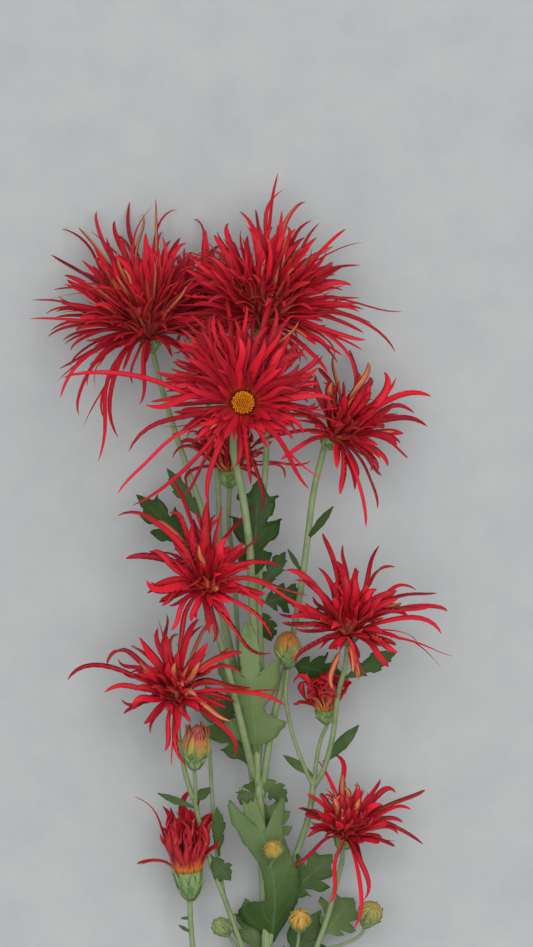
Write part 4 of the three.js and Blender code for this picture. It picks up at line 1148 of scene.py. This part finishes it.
open_petal_skin = velvety_petal("velvety_crimson_petal", "#D0501C", 0.17)
half_open_petal_skin = velvety_petal("velvety_petal_of_a_half_open_flower", "#E89A2C", 0.24)
for index, (name, bloom) in enumerate(BLOOMS.items()):
    flower = joined("flower_" + name, bloom_petals(name, bloom, index))
    skin = open_petal_skin if bloom["disc"] else half_open_petal_skin
    dressed(flower, ["petals_" + name], "petal_crimson", skin)

# Hearts
# In the middle of an open flower sits a low dome of tiny golden tube florets. They grew in a
# spiral, each a short tube with a flared mouth, the outer ones open and the inner ones shut.
floret_skin, tree = new_material("golden_tube_florets")
wrap = add_node(tree, "TexCoord")
tone = add_node(tree, "Attribute", {"attribute_name": "tone"})
pollen = add_node(tree, "TexNoise", {"Scale": 1 / (0.8 * MM), "Detail": 3.0},
                  {"Vector": wrap.outputs["Object"]})
ripe = add_node(tree, "Mix", {6: "#DA960C", 7: "#F8C41E"}, {"Factor": tone.outputs["Fac"]})
dusted = add_node(tree, "Mix", {"blend_type": "MULTIPLY", 7: "#EDB13A"}, {"Factor": pollen, 6: ripe})
skin = add_node(tree, "BsdfPrincipled", {"Roughness": 0.75, "IOR": 1.4, "Specular IOR Level": 0.2},
                {"Base Color": dusted})
add_node(tree, "OutputMaterial", links={"Surface": skin})

FLORET_SIDES = 5
FLORET_STEPS = 3
FLORET_RADII = np.array([0.6, 0.75, 1.0, 0.55])
FRONT_FLORETS = 110
FLORETS = 36
DISC_HEIGHT = 0.6
DISC_GAP = 0.3
DISC_SPREAD = 1.06
tube = straight_rod("straight_floret", FLORET_SIDES, FLORET_STEPS)
wrap_uv(tube, lambda face, vertex: 0.5)


def florets(bloom, count, draw):
    """The tube florets of one heart, in a spiral over its dome."""
    ways = axis, across, _ = lean(bloom)
    base = bloom["seat"] + axis * (CORE_HEIGHT + DISC_GAP)
    parts = []
    for index in range(count):
        share = math.sqrt((index + 0.5) / count)
        outward = around(ways, math.radians(GOLDEN_ANGLE * index))
        spread = share * bloom["disc"] * DISC_SPREAD
        height = bloom["disc"] * DISC_HEIGHT * math.sqrt(max(0.0, 1 - share**2))
        foot = base + outward * spread * 0.9 + axis * (height * 0.6 - 0.6)
        head = base + outward * spread + axis * (height + 0.5 * next(draw))
        points = foot + np.linspace(0, 1, FLORET_STEPS + 1)[:, None] * (head - foot)
        size = bloom["disc"] / math.sqrt(count) * (0.75 + 0.3 * share)
        parts.append(bar(tube, "floret", points, across, size * FLORET_RADII, next(draw)))
    return parts


heart_draw = seeded(71)
for name, bloom in BLOOMS.items():
    if bloom["disc"]:
        count = FRONT_FLORETS if name == "front" else FLORETS
        heart = joined("heart_" + name, florets(bloom, count, heart_draw))
        dressed(heart, ["disc_" + name], "floret_yellow", floret_skin)

# Buds
# A bud is an egg of folded petals over its green cup, still shut, with its petal tips bent
# together at the top. One of them has begun to open, and its petals curl outwards.
FOLDED = {
    "bud_middle": ("#868440", "#B8702E"),
    "bud_opening": ("#B0A03C", "#B4424C"),
    "bud_centre": ("#8F8A42", "#C09A45"),
    "bud_low": ("#A68A3E", "#D2A248"),
    "bud_right": ("#87864A", "#B5A451"),
    "bud_left": ("#74824A", "#98A065"),
}


def folded_petal_skin(name, foot, tip):
    """Soft folded petals from their foot to their tip, with painted shade where they meet."""
    material, tree, wrap, across, along, tone = blade_material(name)
    inward = add_node(tree, "Math", {"operation": "PINGPONG", 1: 0.5}, {0: across})
    climb = add_node(tree, "Math", {"operation": "MULTIPLY_ADD", 1: 0.7, 2: -0.1}, {0: tone})
    climb = add_node(tree, "Math", {"operation": "ADD", "use_clamp": True}, {0: climb, 1: along})
    ripe = add_node(tree, "Mix", {6: foot, 7: tip}, {"Factor": climb})
    # Painted shade: each folded petal darkens towards its edges, where it meets the next one.
    crease_shade = add_node(tree, "MapRange", {"From Max": 0.22, "To Min": 0.45, "To Max": 0.0},
                       {"Value": inward})
    crease_shaded = add_node(tree, "Mix", {7: "#6E5A28"}, {"Factor": crease_shade, 6: ripe})
    skin = add_node(tree, "BsdfPrincipled",
                    {"Roughness": 0.5, "IOR": 1.4, "Subsurface Weight": 0.1, "Subsurface Scale": 0.8 * MM},
                    {"Base Color": crease_shaded})
    add_node(tree, "OutputMaterial", links={"Surface": skin})
    return material


BUD_PETALS = 30
BUD_TURN = 0.382
BUD_OUTLINE = np.interp(PETAL_SHARES, [0, 0.3, 0.6, 0.85, 1], [0.7, 1, 0.85, 0.5, 0.15])
UNCURLING_FROM = 0.72


def folded_petals(name, bud, draw):
    """The egg of a bud: a round core and the narrow petals folded over it."""
    ways = axis, across, _ = lean(bud)
    seat, half = bud["seat"], bud["width"] / 2
    heights = np.linspace(0, 0.97, ROD_STEPS + 1)
    radii = half * 0.93 * np.interp(heights, BUD_HEIGHTS, BUD_RADII)
    points = seat + (heights * bud["length"])[:, None] * axis
    parts = [bar(rod, "core", points, across, radii, 0.0)]
    for index in range(BUD_PETALS):
        outward = around(ways, 2 * math.pi * index * BUD_TURN + 0.2 * next(draw))
        share = PETAL_SHARES * (0.86 + 0.14 * next(draw))
        radius = half * np.interp(share, BUD_HEIGHTS, BUD_RADII) + 0.05 + 0.12 * (index % 3)
        swirl = 0.7 * (next(draw) - 0.3) * PETAL_SHARES[:, None]
        out = unit(outward + np.cross(axis, outward) * swirl)
        if name == "bud_opening":
            curl = np.clip(PETAL_SHARES - UNCURLING_FROM, 0, 1)[:, None] * (4 + 14 * next(draw))
            out = unit(out + np.cross(axis, outward) * curl * 0.12 * (next(draw) - 0.5))
            radius = radius + curl[:, 0] ** 1.2 * 0.5
        points = seat + (share * bud["length"])[:, None] * axis + radius[:, None] * out
        parts.append(blade(long_blade, "bud_petal", points, out, half * 0.68 * BUD_OUTLINE, -0.3,
                           next(draw) - 0.5))
    return parts


bud_draw = seeded(61)
for name, bud in BUDS.items():
    piece = joined(name.replace("bud", "folded_bud"), folded_petals(name, bud, bud_draw))
    skin = folded_petal_skin("folded_petals_of_" + name, *FOLDED[name])
    dressed(piece, [name], "bud_yellow_green", skin)

for straight in (rod, long_blade, short_blade, strip, tube):
    bpy.data.objects.remove(straight)
